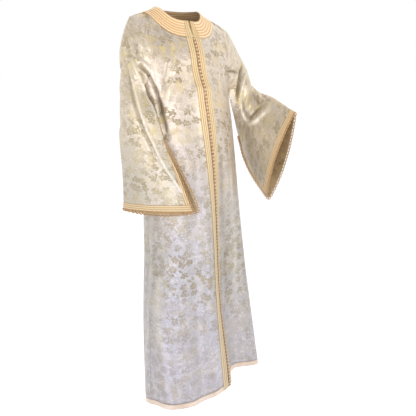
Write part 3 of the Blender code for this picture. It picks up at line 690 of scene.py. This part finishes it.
class Value:
    """A number or vector worked out by nodes; arithmetic on a number adds more of them."""

    def __init__(self, nodes, socket):
        self.nodes, self.socket = nodes, socket

    def __add__(self, other):
        return self.nodes.math("ADD", self, other)

    def __sub__(self, other):
        return self.nodes.math("SUBTRACT", self, other)

    def __rsub__(self, other):
        return self.nodes.math("SUBTRACT", other, self)

    def __mul__(self, other):
        return self.nodes.math("MULTIPLY", self, other)

    def __truediv__(self, other):
        return self.nodes.math("DIVIDE", self, other)

    def __abs__(self):
        return self.nodes.math("ABSOLUTE", self)

    def ramp(self, low, high, start=0.0, end=1.0, kind="LINEAR"):
        """Go from start to end as the number goes from low to high."""
        feeds = {"Value": self, "From Min": low, "From Max": high, "To Min": start, "To Max": end}
        return self.nodes.node("ShaderNodeMapRange", "Result", feeds, interpolation_type=kind)

    def step(self, low, high):
        """Ease from 0 to 1 as the number goes from low to high."""
        return self.ramp(low, high, kind="SMOOTHSTEP")

    def between(self, start, end):
        """Start where the number is 0 and end where it is 1."""
        return self.nodes.math("MULTIPLY_ADD", self, end - start, start)


class Nodes:
    """Short calls that add nodes to a tree and return their outputs as values."""

    def __init__(self, tree):
        self.tree = tree

    def feed(self, socket, value):
        if isinstance(value, Value):
            self.tree.links.new(value.socket, socket)
        elif value is not None:
            socket.default_value = value

    def node(self, kind, output, feeds, **settings):
        """Add a node, feed its inputs, and return its output, or a list where several are named."""
        made = self.tree.nodes.new(kind)
        for key, value in settings.items():
            setattr(made, key, value)
        for socket, value in feeds.items():
            self.feed(made.inputs[socket], value)
        if isinstance(output, tuple):
            return [Value(self, made.outputs[name]) for name in output]
        return Value(self, made.outputs[output])

    def math(self, operation, first, second=None, third=None):
        return self.node("ShaderNodeMath", 0, {0: first, 1: second, 2: third}, operation=operation)

    def vector(self, operation, first, second, output="Vector"):
        feeds = {0: first, 3 if operation == "SCALE" else 1: second}
        return self.node("ShaderNodeVectorMath", output, feeds, operation=operation)

    def parts(self, vector):
        """The three parts of a vector or a colour."""
        return self.node("ShaderNodeSeparateXYZ", (0, 1, 2), {0: vector})


class Look(Nodes):
    """A procedural material on cloth coordinates, uv, and places in the garment, where."""

    def __init__(self, name, roughness, metallic, sheen=0.0):
        self.material = bpy.data.materials.new(name)
        self.material.use_nodes = True
        super().__init__(self.material.node_tree)
        self.shade({"Roughness": roughness, "Metallic": metallic, "Sheen Weight": sheen})
        self.uv = self.node("ShaderNodeUVMap", "UV", {}, uv_map="cloth")
        self.where = self.node("ShaderNodeTexCoord", "Object", {})

    def shade(self, inputs):
        """Give the shader's inputs their values and return the material."""
        for name, value in inputs.items():
            self.feed(self.tree.nodes["Principled BSDF"].inputs[name], value)
        return self.material

    def mix(self, share, first, second):
        return self.node("ShaderNodeMix", 2, {0: share, 6: first, 7: second}, data_type="RGBA")

    def noise(self, place, scale, detail=2.0, roughness=0.5, output="Fac"):
        return self.node("ShaderNodeTexNoise", output,
                         {"Vector": place, "Scale": scale, "Detail": detail, "Roughness": roughness})

    def clouds(self, place, scale, detail, low, high, roughness=0.5):
        """Clouds of noise that grow in between two levels of it."""
        return self.noise(place, scale, detail, roughness).step(low, high)

    def cells(self, size, shift, share):
        """Random cells: place in the cell (x, y, in cell sizes), 1 if it is filled, and a random tone."""
        moved = self.vector("ADD", self.vector("SCALE", self.uv, 1.0 / size), shift)
        centre, colour = self.node("ShaderNodeTexVoronoi", ("Position", "Color"),
                                   {"Vector": moved, "Scale": 1.0, "Randomness": CELL_RANDOMNESS},
                                   voronoi_dimensions="2D", feature="F1")
        turn, pick, tone = self.parts(colour)
        offset = self.vector("SUBTRACT", moved, centre)
        turned = self.node("ShaderNodeVectorRotate", "Vector",
                           {"Vector": offset, "Angle": turn * (2.0 * math.pi)}, rotation_type="Z_AXIS")
        x, y, _ = self.parts(turned)
        return x, y, self.math("LESS_THAN", pick, share), tone

    def bump(self, height, strength, distance):
        feeds = {"Strength": strength, "Distance": distance, "Height": height}
        self.shade({"Normal": self.node("ShaderNodeBump", "Normal", feeds)})

    def low(self, heights):
        """How far down the gown a point lies: 1 below the first height, 0 above the second."""
        return 1.0 - self.parts(self.where)[2].step(*heights)

    def dimmed(self, colour, amount):
        """The colour as it is on the chest, easing to a cooler and darker one towards the hem, as painted
        shade.
        """
        shown = colour
        for shade, heights in ((SKIRT_SHADE, SKIRT_LIES), (HEM_SHADE, HEM_LIES)):
            cool = [part * (1.0 - amount * (1.0 - kept)) for part, kept in zip(colour, shade)]
            shown = self.mix(self.low(heights), shown, (*cool, 1.0))
        return shown


# Painted shade towards the hem: what the skirt and its hem keep of the chest's light, and the heights
# between which each begins
SKIRT_SHADE, SKIRT_LIES = (0.59, 0.645, 0.735), (-0.98, -0.14)
HEM_SHADE, HEM_LIES = (0.64, 0.70, 0.87), (-1.30, -0.85)

# Motifs of the brocade: size of their cells, where the cells start and the share that is filled
BLOSSOMS = (34 * MM, (0.0, 0.0, 0.0), 0.85)
LEAVES = (29 * MM, (3.3, 7.1, 0.0), 0.85)
SPRIGS = (46 * MM, (11.7, 5.9, 0.0), 0.8)
CELL_RANDOMNESS = 0.75
LINE_DEPTH = 0.5  # how far the open lines inside a motif show the ground

# Blossom, in cell sizes, and its lines as shares of its reach
BLOSSOM_REACH, PETALS = 0.44, 5
PETAL_ROOT, PETAL_EDGE = 0.58, 0.88
HEART, HEART_LINE = 0.30, 0.10

# Leaves of a twig, in cell sizes: turn (radians), how far out the middle is, half length, half width
TWIG = ((0.0, 0.14, 0.26, 0.105), (1.05, 0.18, 0.22, 0.09), (-1.1, 0.14, 0.22, 0.09))
LEAF_EDGE, LEAF_RIB = 0.14, (0.04, 0.16)

# Sprig, in cell sizes
BARBS, BARB_GAP = 8.0, 0.45
SPRIG_HALF_LENGTH, SPRIG_HALF_WIDTH, STEM_HALF_WIDTH = 0.4, 0.17, 0.018

# The ripple that bends the motifs' edges: bumps per metre and how far it moves them
RIPPLE, RIPPLE_SWAY = 62.0, 17.0 * MM

# Clouds of noise: bumps per metre, octaves, the levels between which they grow in, and a roughness
BROKEN_THREADS = (180.0, 3.0, 0.34, 0.50)
STRONGER = (9.0, 2.0, 0.36, 0.62)
GOLD_PATCHES = (16.0, 2.0, 0.50, 0.62)
GRAIN = (260.0, 3.0, 0.40, 0.62)
FLECKS = (105.0, 3.0, 0.50, 0.60, 0.65)
BRIGHTER = (13.0, 2.0, 0.42, 0.60)

# Weave in the relief: bumps per metre and octaves, closer down the cloth, and its share of the height
WEAVE, WEAVE_STRETCH, WEAVE_HEIGHT = (700.0, 1.0), (1.0, 3.0, 1.0), 0.35

# How strong each thing is. FADES: on the chest and low down; CHANGES and TONES: least and most; DIMS: how
# far a colour follows the skirt's shade; SHARES: of the ground's own colour. Metal is a share, too.
SPRIG_FADES, SPRIG_PALES = (0.7, 0.0), 0.4
MOTIF_CHANGES, MOTIF_FADES, MOTIF_FADES_AT_HEM = (0.4, 1.0), (1.0, 0.85), (1.0, 0.5)
GOLD_FADES, GOLD_TONES, GOLD_ON_GROUND = (1.0, 0.4), (0.4, 1.0), 0.18
FLECK_CHANGES, GRAIN_DEPTH = (0.3, 0.8), 0.40
SHADED_SHARE, CREAM_SHARE = 0.72, 1.30
TAUPE_DIMS, GOLD_DIMS, CREAM_DIMS, PALE_DIMS, BRAID_DIMS, CORD_DIMS = 0.6, 0.7, 0.9, 0.8, 0.7, 0.5
MOTIF_ROUGHNESS, MOTIF_METAL = (0.42, 0.60), 0.4
RELIEF, RELIEF_HEIGHT = 0.35, 0.35 * MM

# Painted shade at the bottoms of the folds and a painted highlight on their tops: how strong, and their
# colours
TROUGH_PAINTED_SHADE, TROUGH_SHADOW_COLOUR = 0.75, srgb(112, 94, 66)
RIDGE_PAINTED_HIGHLIGHT, RIDGE_HIGHLIGHT_COLOUR = 0.60, srgb(252, 246, 232)


def blossoms(look):
    """Five-petalled blossoms with an open ring at the heart."""
    x, y, shown, _ = look.cells(*BLOSSOMS)
    radius = look.math("SQRT", x * x + y * y)
    petals = abs(look.math("COSINE", look.math("ARCTAN2", y, x) * (PETALS / 2.0)))
    edge = petals.between(BLOSSOM_REACH * PETAL_ROOT, BLOSSOM_REACH)
    inside = 1.0 - (radius / edge).step(PETAL_EDGE, 1.0)
    ring = abs(radius - BLOSSOM_REACH * HEART).step(0.0, BLOSSOM_REACH * HEART_LINE)
    return inside * ring.between(1.0 - LINE_DEPTH, 1.0) * shown


def leaves(look):
    """Three pointed leaves on a twig, each with a rib, and the tone of each twig."""
    x, y, shown, tone = look.cells(*LEAVES)
    total = 0.0
    for turn, out, half_length, half_width in TWIG:
        cosine, sine = math.cos(turn), math.sin(turn)
        run = (x * cosine + y * sine - out) / half_length
        side = abs(y * cosine - x * sine) / half_width
        leaf = (1.0 - run * run - side).step(0.0, LEAF_EDGE)
        rib = side.step(*LEAF_RIB).between(1.0 - LINE_DEPTH, 1.0)
        total = look.math("MAXIMUM", total, leaf * rib)
    return total * shown, tone


def sprigs(look):
    """Fern-like sprigs: slanting barbs on both sides of a stem."""
    x, y, shown, _ = look.cells(*SPRIGS)
    reach = abs(y)
    barb = look.math("GREATER_THAN", look.math("FRACT", (x - reach) * BARBS), BARB_GAP)
    taper = 1.0 - look.math("POWER", abs(x) / SPRIG_HALF_LENGTH, 2.0)
    shape = look.math("LESS_THAN", reach, taper * SPRIG_HALF_WIDTH)
    stem = look.math("LESS_THAN", reach, STEM_HALF_WIDTH)
    return look.math("MAXIMUM", barb, stem) * shape * shown


def brocade(name, ground, taupe, gold, metallic=0.7):
    """Woven flowers, leaves and sprigs on a metallic ground; the threads of the motifs are duller."""
    look = Look(name, MOTIF_ROUGHNESS[0], metallic, sheen=0.1)
    plain, where = look.uv, look.where
    sway = look.vector("SUBTRACT", look.noise(plain, RIPPLE, output="Color"), (0.5, 0.5, 0.5))
    look.uv = look.vector("ADD", plain, look.vector("SCALE", sway, RIPPLE_SWAY))
    flower, sprig = blossoms(look), sprigs(look)
    leaf, leaf_tone = leaves(look)
    skirt, hem = look.low(SKIRT_LIES), look.low(HEM_LIES)
    drawn = look.math("MAXIMUM", look.math("MAXIMUM", flower, leaf), sprig * skirt.between(*SPRIG_FADES))
    broken = look.clouds(plain, *BROKEN_THREADS)
    strength = look.clouds(where, *STRONGER).between(*MOTIF_CHANGES)
    strength = strength * skirt.between(*MOTIF_FADES) * hem.between(*MOTIF_FADES_AT_HEM)
    motif = drawn * broken * strength
    patch = look.clouds(where, *GOLD_PATCHES) * skirt.between(*GOLD_FADES)
    thread = look.mix(patch * leaf_tone.between(*GOLD_TONES),
                      look.dimmed(taupe, TAUPE_DIMS), look.dimmed(gold, GOLD_DIMS))
    shaded = [SHADED_SHARE * part for part in ground[:3]]
    cream = [min(1.0, CREAM_SHARE * part) for part in ground[:3]]
    fleck = look.clouds(plain, *FLECKS) * look.clouds(where, *BRIGHTER).between(*FLECK_CHANGES)
    lit = look.mix(fleck, look.dimmed(ground, 1.0), look.dimmed((*cream, 1.0), CREAM_DIMS))
    base = look.mix(look.clouds(plain, *GRAIN) * GRAIN_DEPTH, lit, look.dimmed((*shaded, 1.0), 1.0))
    base = look.mix(patch * GOLD_ON_GROUND, base, gold)
    pale = sprig * skirt * broken * SPRIG_PALES
    surface = look.mix(pale, look.mix(motif, base, thread), look.dimmed((*cream, 1.0), PALE_DIMS))
    # Fold marks of the creases: painted shade in the troughs, painted highlight on the ridges
    fold = look.parts(look.node("ShaderNodeUVMap", "UV", {}, uv_map="fold"))[0]
    for painted_light, colour in ((-TROUGH_PAINTED_SHADE, TROUGH_SHADOW_COLOUR), (RIDGE_PAINTED_HIGHLIGHT, RIDGE_HIGHLIGHT_COLOUR)):
        surface = look.mix(look.math("MAXIMUM", fold * painted_light, 0.0), surface, colour)
    weave = look.noise(look.vector("MULTIPLY", plain, WEAVE_STRETCH), *WEAVE)
    look.bump(weave * WEAVE_HEIGHT + motif, RELIEF, RELIEF_HEIGHT)
    return look.shade({"Base Color": surface, "Roughness": motif.between(*MOTIF_ROUGHNESS),
                       "Metallic": motif.between(metallic, metallic * MOTIF_METAL)})


# Braid: its stitches, and the groove and the cord of each row, in row widths from the row's middle;
# grooves and stitches get painted shade
STITCH_LENGTH, STITCH_SLANT, STITCH_EDGE = 5.0 * MM, 1.6, (0.28, 0.5)
GROOVE_EDGE, CORD_EDGE, CORD_SHARE = (0.38, 0.47), (0.12, 0.24), 0.85
BRAID_NOISE, BRAID_CHANGES, BRAID_RELIEF = 60.0, (0.6, 1.2), (0.6, 0.5 * MM)


def braid(name, light, dark, pale, row_width, stitches):
    """Flat braid: rows of slanting stitches darkened with painted shade in their grooves, each with a pale
    cord along its middle.
    """
    look = Look(name, roughness=0.5, metallic=0.15, sheen=0.2)
    across, along, _ = look.parts(look.uv)
    middle = abs(look.math("FRACT", across / row_width) - 0.5)
    slant = middle * STITCH_SLANT + along / STITCH_LENGTH
    stitch = abs(look.math("FRACT", slant) - 0.5).step(*STITCH_EDGE)
    # Painted shade: grooves between rows and the slanting stitches take the dark tone; the same height
    # shapes the bump
    shade = look.math("MAXIMUM", middle.step(*GROOVE_EDGE), stitch * stitches)
    shade = shade * look.noise(look.where, BRAID_NOISE).between(*BRAID_CHANGES)
    look.bump(1.0 - shade, *BRAID_RELIEF)
    rows = look.mix(shade, look.dimmed(light, BRAID_DIMS), look.dimmed(dark, BRAID_DIMS))
    cord = (1.0 - middle.step(*CORD_EDGE)) * CORD_SHARE
    return look.shade({"Base Color": look.mix(cord, rows, look.dimmed(pale, PALE_DIMS))})


SATIN_CLOUDS, SATIN_WEAVE, SATIN_STRETCH = (22.0, 2.0, 0.3, 0.7), (1200.0, 1.0), (1.0, 4.0, 1.0)
SATIN_RELIEF = (0.15, 0.1 * MM)


def satin(name, light, dark):
    """Smooth satin in soft clouds of two tones."""
    look = Look(name, roughness=0.38, metallic=0.1, sheen=0.1)
    look.bump(look.noise(look.vector("MULTIPLY", look.uv, SATIN_STRETCH), *SATIN_WEAVE), *SATIN_RELIEF)
    return look.shade({"Base Color": look.mix(look.clouds(look.where, *SATIN_CLOUDS), light, dark)})


CORD_TWIST, CORD_TWIST_EDGE, CORD_RELIEF = 420.0, (0.35, 0.65), (0.4, 0.4 * MM)


def cord(name, light, dark):
    """Twisted metal cord."""
    look = Look(name, roughness=0.5, metallic=0.12, sheen=0.3)
    change = look.noise(look.where, CORD_TWIST)
    look.bump(change, *CORD_RELIEF)
    tones = look.dimmed(light, CORD_DIMS), look.dimmed(dark, CORD_DIMS)
    return look.shade({"Base Color": look.mix(change.step(*CORD_TWIST_EDGE), *tones)})


BROCADE = brocade("brocade", srgb(222, 208, 192), srgb(160, 142, 108), srgb(228, 206, 150))
SLEEVE_BROCADE = brocade("sleeve_brocade", srgb(223, 209, 188), srgb(170, 154, 117),
                         srgb(226, 206, 148), metallic=0.6)
REVERSE = brocade("brocade_reverse", srgb(206, 176, 130), srgb(150, 118, 76), srgb(226, 196, 140),
                  metallic=0.3)
COLLAR_BRAID = braid("collar_braid", srgb(236, 194, 138), srgb(206, 156, 98), srgb(252, 232, 196),
                     row_width=10.0 * MM, stitches=0.2)
BAND_BRAID = braid("band_braid", srgb(216, 184, 130), srgb(190, 154, 98), srgb(238, 220, 180),
                   row_width=8.3 * MM, stitches=0.05)
CUFF_BRAID = braid("cuff_braid", srgb(224, 188, 134), srgb(186, 140, 88), srgb(246, 226, 186),
                   row_width=7.3 * MM, stitches=0.1)
KNOT_CORD = cord("knot_cord", srgb(240, 208, 160), srgb(210, 168, 118))
LOOP_CORD = cord("loop_cord", srgb(190, 140, 84), srgb(158, 108, 60))
EDGE_CORD = cord("edge_cord", srgb(212, 168, 108), srgb(176, 130, 78))
HEM_SATIN = satin("hem_satin", srgb(226, 209, 193), srgb(212, 190, 168))


# --- the pieces --------------------------------------------------------------------------------

# Relief of the trims: how many ribs, their height and how far their foot lies off the cloth
CUFF_RIBS, BAND_RIBS = (3, 0.9 * MM, 0.9 * MM), (3, 1.3 * MM, 0.7 * MM)
COLLAR_RIBS, NECK_EDGE_RIB = (6, 1.8 * MM, 0.4 * MM), (1, 1.0 * MM, 0.9 * MM)
RIB_ROUND = 0.6
SLIT_TRIM_SHARE = 0.8
BACK_CLOTH_STARTS, SLEEVE_CLOTH_STARTS = 3.0, (6.0, 2.0)  # where on the cloth their pattern begins

# Knots and cords
KNOT_HALVES, KNOT_LIFT = (4.2 * MM, 4.0 * MM, 3.0 * MM), 2.9 * MM
KNOT_TURNS, KNOT_TURN_DEPTH = 3.0, 0.10
LOOP_RADIUS = 1.7 * MM
LOOP_PATH = ((-7.4, 2.4), (-5.0, 1.9), (-2.0, 1.4), (2.0, 1.4), (5.0, 1.9), (7.4, 2.4))  # beside, off; mm
CORD_SIDES, CORD_START = 6, (0.31, 0.47, 0.83)
SCALLOP_PITCH, SCALLOP_STEPS = 13.5 * MM, 6
SCALLOP_KNOT = (2.8 * MM, 2.8 * MM, 2.2 * MM)
CUFF_SCALLOP, SLIT_SCALLOP = (6.0 * MM, 1.9 * MM), (5.0 * MM, 1.7 * MM)


def ribbed(grid, normals, side, ribs, spans, across_rows=False):
    """Shell part of a braid strip: ribs run down the rows, or along them when across_rows."""
    count, height, lift = ribs
    finer = (spans, 1) if across_rows else (1, spans)
    fine, ways = refined(grid, *finer), unit(refined(normals, *finer))
    share = np.linspace(0.0, 1.0, fine.shape[0 if across_rows else 1])
    rise = lift + height * np.abs(np.sin(math.pi * count * share)) ** RIB_ROUND
    uv = cloth_uv(fine)
    if across_rows:
        uv, rise = uv[:, :, ::-1], rise[:, None]
    points, faces, uvs, marks = shell_parts(fine, ways, 0.0, SEAM_GAP, uv, side)
    raised = fine + ways * (rise + np.zeros(fine.shape[:2]))[:, :, None]
    points[:raised.size // 3] = raised.reshape(-1, 3)
    return points, faces, uvs, marks


def plain_part(points, faces, mark=0):
    """Part without cloth coordinates."""
    return np.array(points), faces, [np.zeros((len(face), 2)) for face in faces], [mark] * len(faces)


def oriented(line, outward, distance):
    """Place, run and outward directions at a distance along a line."""
    run = lengths_along(line)
    place, ahead, behind = points_at(line, np.clip([distance, distance + MM, distance - MM], 0.0, run[-1]))
    forth = unit(ahead - behind)
    out = row_point(outward, np.interp(distance, run, np.arange(len(run))))
    return place, forth, unit(out - forth * (out @ forth))


def ring_faces(rings, around):
    """Quads between neighbouring rings of points."""
    pairs = [(step, (step + 1) % around) for step in range(around)]
    return [(ring + a, ring + b, ring + b + around, ring + a + around)
            for ring in range(0, (rings - 1) * around, around) for a, b in pairs]


def ball(place, forth, out, halves, around=10, rings=7):
    """Part of a small wound knot: a squashed ball with turns of cord round it."""
    ways = np.array([np.cross(forth, out), forth, out]) * np.array(halves)[:, None]
    points = []
    for ring in range(1, rings):
        polar = math.pi * ring / rings
        for step in range(around):
            turn = 2.0 * math.pi * step / around
            swell = 1.0 + KNOT_TURN_DEPTH * math.cos(KNOT_TURNS * (turn + 2.0 * polar))
            reach = math.sin(polar) * swell
            points.append(place + (reach * math.cos(turn), reach * math.sin(turn), math.cos(polar)) @ ways)
    top, bottom, last = len(points), len(points) + 1, (rings - 2) * around
    faces = [(a, d, c, b) for a, b, c, d in ring_faces(rings - 1, around)]
    for step in range(around):
        after = (step + 1) % around
        faces += [(top, step, after), (bottom, last + after, last + step)]
    return plain_part(points + [place + ways[2], place - ways[2]], faces)


def cord_arc(path, radius, mark=0):
    """Part of a short cord along a few points, closed at its ends."""
    points = []
    for ahead, place in zip(np.gradient(path, axis=0), path):
        first = unit(np.cross(ahead, CORD_START))
        second = np.cross(unit(ahead), first)
        for turn in 2.0 * math.pi * np.arange(CORD_SIDES) / CORD_SIDES:
            points.append(place + radius * (first * math.cos(turn) + second * math.sin(turn)))
    ends = [tuple(range(CORD_SIDES - 1, -1, -1)), tuple(range(len(points) - CORD_SIDES, len(points)))]
    return plain_part(points, ring_faces(len(path), CORD_SIDES) + ends, mark)


def scallops(line, outward, away, reach, radius):
    """Scalloped edge: an arc of cord with a small knot at its foot, again and again along an edge."""
    run = lengths_along(line)
    count = int(run[-1] / SCALLOP_PITCH)
    parts = []
    for number in range(count):
        middle = run[-1] * (number + 0.5) / count
        off = row_point(away, np.interp(middle, run, np.arange(len(line)))) * reach
        path = []
        for part in np.arange(SCALLOP_STEPS + 1) / SCALLOP_STEPS:
            place, forth, out = oriented(line, outward, middle + SCALLOP_PITCH * (part - 0.5))
            path.append(place + off * math.sin(math.pi * part) + out * (radius + SEAM_GAP))
        parts.append(cord_arc(np.array(path), radius))
        parts += [ball(path[0], forth, out, SCALLOP_KNOT, around=6, rings=4)]
    return parts


# Coarse rows of each half panel, from its middle to its side
HALVES = {(face, name): lean(half_panel(sign, face)) for face in ("front", "back")
          for name, sign in SIGN.items()}


def build_panel(name, coarse, sign, uv_sign=1.0, uv_start=0.0):
    """A panel's brocade and the satin at its hem, with the grid that its trims are sewn to."""
    grid = refined(coarse)
    grid, fold = creased(name, grid, grid_normals(grid, sign))
    normals = grid_normals(grid, sign)
    uv = np.concatenate([cloth_uv(grid) * (uv_sign, 1.0) + (uv_start, 0.0), fold], axis=2)
    cloth, band = slice(HEM_ROWS, None), slice(0, HEM_ROWS + 1)
    brocade_part = shell_parts(grid[cloth], normals[cloth], 0.0, -THIN, uv[cloth], sign)
    piece = mesh_piece(f"cloth_{name}", [brocade_part], (BROCADE, REVERSE), name)
    satin_part = shell_parts(grid[band], normals[band], SEAM_GAP, -THIN, uv[band, :, :2], sign)
    hem = mesh_piece(f"satin_hem_{name}", [satin_part], (HEM_SATIN,), f"hem_band_{name}")
    return {"grid": grid, "normals": normals, "piece": piece, "hem": hem}


def build_sleeve(name):
    """A sleeve, the braid round its cuff and up its slit, and the scallops at their edges."""
    sign = SIGN[name]
    edges = [HALVES[face, name][SKIRT_ROWS:, -1] for face in ("front", "back")]
    grid = refined(sleeve_rows(SLEEVE_TABLES[name], *edges), SLEEVE_FINE, SLEEVE_ACROSS)
    grid, fold = creased(f"sleeve_{name}", grid, grid_normals(grid, -sign))
    normals = grid_normals(grid, -sign)
    across, down = SLEEVE_CLOTH_STARTS
    uv = np.concatenate([cloth_uv(grid) + (across * sign, down), fold], axis=2)
    cloth = shell_parts(grid, normals, 0.0, -THIN, uv, -sign)
    piece = mesh_piece(f"cloth_sleeve_{name}", [cloth], (SLEEVE_BROCADE, REVERSE),
                       f"sleeve_{name}")
    slit_row = (CHEST_ROWS + TUBE_ROWS - 1) * SLEEVE_FINE
    cuff, slit = slice(-SLEEVE_FINE - 1, None), slice(slit_row, -SLEEVE_FINE)
    trims = [ribbed(grid[cuff], normals[cuff], -sign, CUFF_RIBS, across_rows=True, spans=4)]
    scalloped = scallops(grid[-1], normals[-1], unit(grid[-1] - grid[-2]), *CUFF_SCALLOP)
    for columns, edge, inner in ((slice(0, SLEEVE_ACROSS + 1), 0, 1),
                                 (slice(-SLEEVE_ACROSS - 1, None), -1, -2)):
        strip, line = grid[slit, columns], grid[slit, edge][:, None]
        width = smooth_step(np.linspace(0.0, 1.0, len(strip)), 0.0, 1.0)[:, None, None]
        strip = line + (strip - line) * width * SLIT_TRIM_SHARE
        trims.append(ribbed(strip, normals[slit, columns], -sign, CUFF_RIBS, spans=3))
        away = unit(grid[slit_row:, edge] - grid[slit_row:, inner])
        scalloped += scallops(grid[slit_row:, edge], normals[slit_row:, edge], away, *SLIT_SCALLOP)
    mesh_piece(f"braid_cuff_{name}", trims, (CUFF_BRAID,), f"cuff_trim_{name}")
    mesh_piece(f"knots_cuff_{name}", scalloped, (EDGE_CORD,))
    return piece


def build_collar():
    """One braid strip round the neck, from the right front over the back to the left front."""
    strips = []
    for face, name, backward in (("front", "right", False), ("back", "right", True),
                                 ("back", "left", False), ("front", "left", True)):
        rows = collar_rows(SIGN[name], face)[:, BAND_SPANS if face == "front" else 0:]
        rows = rows[:, ::-1] if backward else rows
        strips.append(rows[:, 1:] if strips else rows)
    grid = refined(np.concatenate(strips, axis=1), 2, FINE)
    part = ribbed(grid, grid_normals(grid, -1.0), -1.0, COLLAR_RIBS, across_rows=True, spans=8)
    mesh_piece("braid_collar", [part], (COLLAR_BRAID,), "collar")


def build_band(name):
    """Braid band beside the closure, from the hem over the neckline to the neck rim."""
    sign, panel = SIGN[name], fronts[name]
    neck = refined(collar_rows(sign, "front")[:, :BAND_SPANS + 1], 4, FINE)
    neck_normals = grid_normals(neck, sign)
    lane, edge = slice(FINE, BAND_SPANS * FINE + 1), slice(0, FINE + 1)
    parts = [ribbed(panel["grid"][:, lane], panel["normals"][:, lane], sign, BAND_RIBS, spans=4),
             ribbed(neck[:, FINE:], neck_normals[:, FINE:], sign, BAND_RIBS, spans=4),
             ribbed(neck[:, edge], neck_normals[:, edge], sign, NECK_EDGE_RIB, spans=2)]
    mesh_piece(f"braid_band_{name}", parts, (BAND_BRAID,), f"placket_band_{name}")


def build_knots():
    """The row of round knots down the closure, with the cord of a loop between each two."""
    line = fronts["right"]["grid"][:, 0]
    outward = unit(fronts["right"]["normals"][:, 0] + fronts["left"]["normals"][:, 0])
    length = lengths_along(line)[-1]
    count = int(length / KNOT_PITCH)
    parts = []
    for number in range(count):
        place, forth, out = oriented(line, outward, (number + 0.5) * length / count)
        bar = place - forth * 0.5 * KNOT_PITCH
        path = [bar + (np.cross(forth, out) * beside + out * off) * MM for beside, off in LOOP_PATH]
        parts += [ball(place + out * KNOT_LIFT, forth, out, KNOT_HALVES),
                  cord_arc(np.array(path), LOOP_RADIUS, mark=1)]
    mesh_piece("knots_closure", parts, (KNOT_CORD, LOOP_CORD), "button_row")


fronts = {name: build_panel(f"front_{name}", HALVES["front", name], sign, uv_sign=sign)
          for name, sign in SIGN.items()}
whole_back = np.concatenate([HALVES["back", "left"][:, ::-1], HALVES["back", "right"][:, 1:]], axis=1)
back = build_panel("back", whole_back, 1.0, uv_start=BACK_CLOTH_STARTS)
sleeves = {name: build_sleeve(name) for name in SIGN}
build_collar()
for name in SIGN:
    build_band(name)
build_knots()


# --- sheets, floor, light and camera -----------------------------------------------------------

FLOOR_DROP, FLOOR_HALF = 0.20, 30.0
FLOOR_GLOW, FLOOR_GLOW_COLOUR = 0.24, (0.86, 0.90, 1.0, 1.0)
corners = [(x, y, CAD_BOX[0][2] - FLOOR_DROP) for x, y in ((-FLOOR_HALF, -FLOOR_HALF),
           (FLOOR_HALF, -FLOOR_HALF), (FLOOR_HALF, FLOOR_HALF), (-FLOOR_HALF, FLOOR_HALF))]
floor_mesh = bpy.data.meshes.new("floor")
floor_mesh.from_pydata(corners, [], [(0, 1, 2, 3)])
floor = bpy.data.objects.new("floor", floor_mesh)
bpy.context.scene.collection.objects.link(floor)
floor_inputs = {"Base Color": srgb(250, 250, 250), "Emission Color": FLOOR_GLOW_COLOUR,
                "Emission Strength": FLOOR_GLOW}
floor_mesh.materials.append(Look("floor", roughness=0.9, metallic=0.0).shade(floor_inputs))

# Sky: the heights between which it brightens upward, and how much. Away from the backdrop it is dimmed,
# but only above its lowest part.
SKY_FADES, SKY_LEVELS = (0.12, 0.75), (1.0, 1.5)
BACKDROP_WAY = (0.617, 0.787, 0.0)
DIM_FADES, DIM_LEVELS = (-0.25, 0.55), (0.38, 1.0)
DIM_STARTS = (0.10, 0.32)
world = bpy.data.worlds.new("studio")
world.use_nodes = True
sky = Nodes(world.node_tree)
way = sky.node("ShaderNodeTexCoord", "Generated", {})
up = sky.parts(way)[2]
dimmed = sky.vector("DOT_PRODUCT", way, BACKDROP_WAY, "Value").ramp(*DIM_FADES, *DIM_LEVELS)
dimmed = sky.math("MAXIMUM", dimmed, up.ramp(*DIM_STARTS, 1.0, 0.0))
background = world.node_tree.nodes["Background"].inputs
sky.feed(background["Color"], (1.0, 1.0, 1.0, 1.0))
sky.feed(background["Strength"], up.ramp(*SKY_FADES, *SKY_LEVELS) * dimmed)
bpy.context.scene.world = world


def aimed(name, data, place, target):
    """A lamp or camera at a place, looking at its target."""
    thing = bpy.data.objects.new(name, data)
    thing.location = place
    thing.rotation_euler = (Vector(target) - Vector(place)).to_track_quat("-Z", "Y").to_euler()
    bpy.context.scene.collection.objects.link(thing)
    return thing


# Lamps: name, place, target, size, watts, colour
CHEST = (0.0, -0.10, -0.30)
SKIRT = (0.05, -0.10, -1.20)
LAMPS = (
    ("key", (1.2, -2.5, 0.1), CHEST, (1.3, 1.1), 16.0, (1.0, 0.96, 0.91)),
    ("front", (-1.8, -2.3, 0.2), CHEST, (1.4, 1.3), 19.0, (1.0, 0.95, 0.88)),
    ("side", (-2.9, -0.9, -0.2), CHEST, (0.5, 1.6), 8.0, (1.0, 0.97, 0.92)),
    ("low", (-1.3, -2.3, -1.25), SKIRT, (1.6, 0.5), 8.5, (0.50, 0.58, 1.0)),
)
for name, place, target, size, watts, colour in LAMPS:
    light = bpy.data.lights.new(name, "AREA")
    light.shape = "RECTANGLE"
    light.size, light.size_y = size
    light.energy = watts
    light.color = colour
    aimed(name, light, place, target)
bpy.context.scene.view_settings.view_transform = "Standard"

CAMERA_PLACE = (-1.698, -2.353, -0.12)
CAMERA_TARGET = (0.0873, -0.0682, -0.7207)
CAMERA_FIELD = math.radians(29.41)
camera = bpy.data.cameras.new("camera")
camera.angle = CAMERA_FIELD
bpy.context.scene.camera = aimed("camera", camera, CAMERA_PLACE, CAMERA_TARGET)
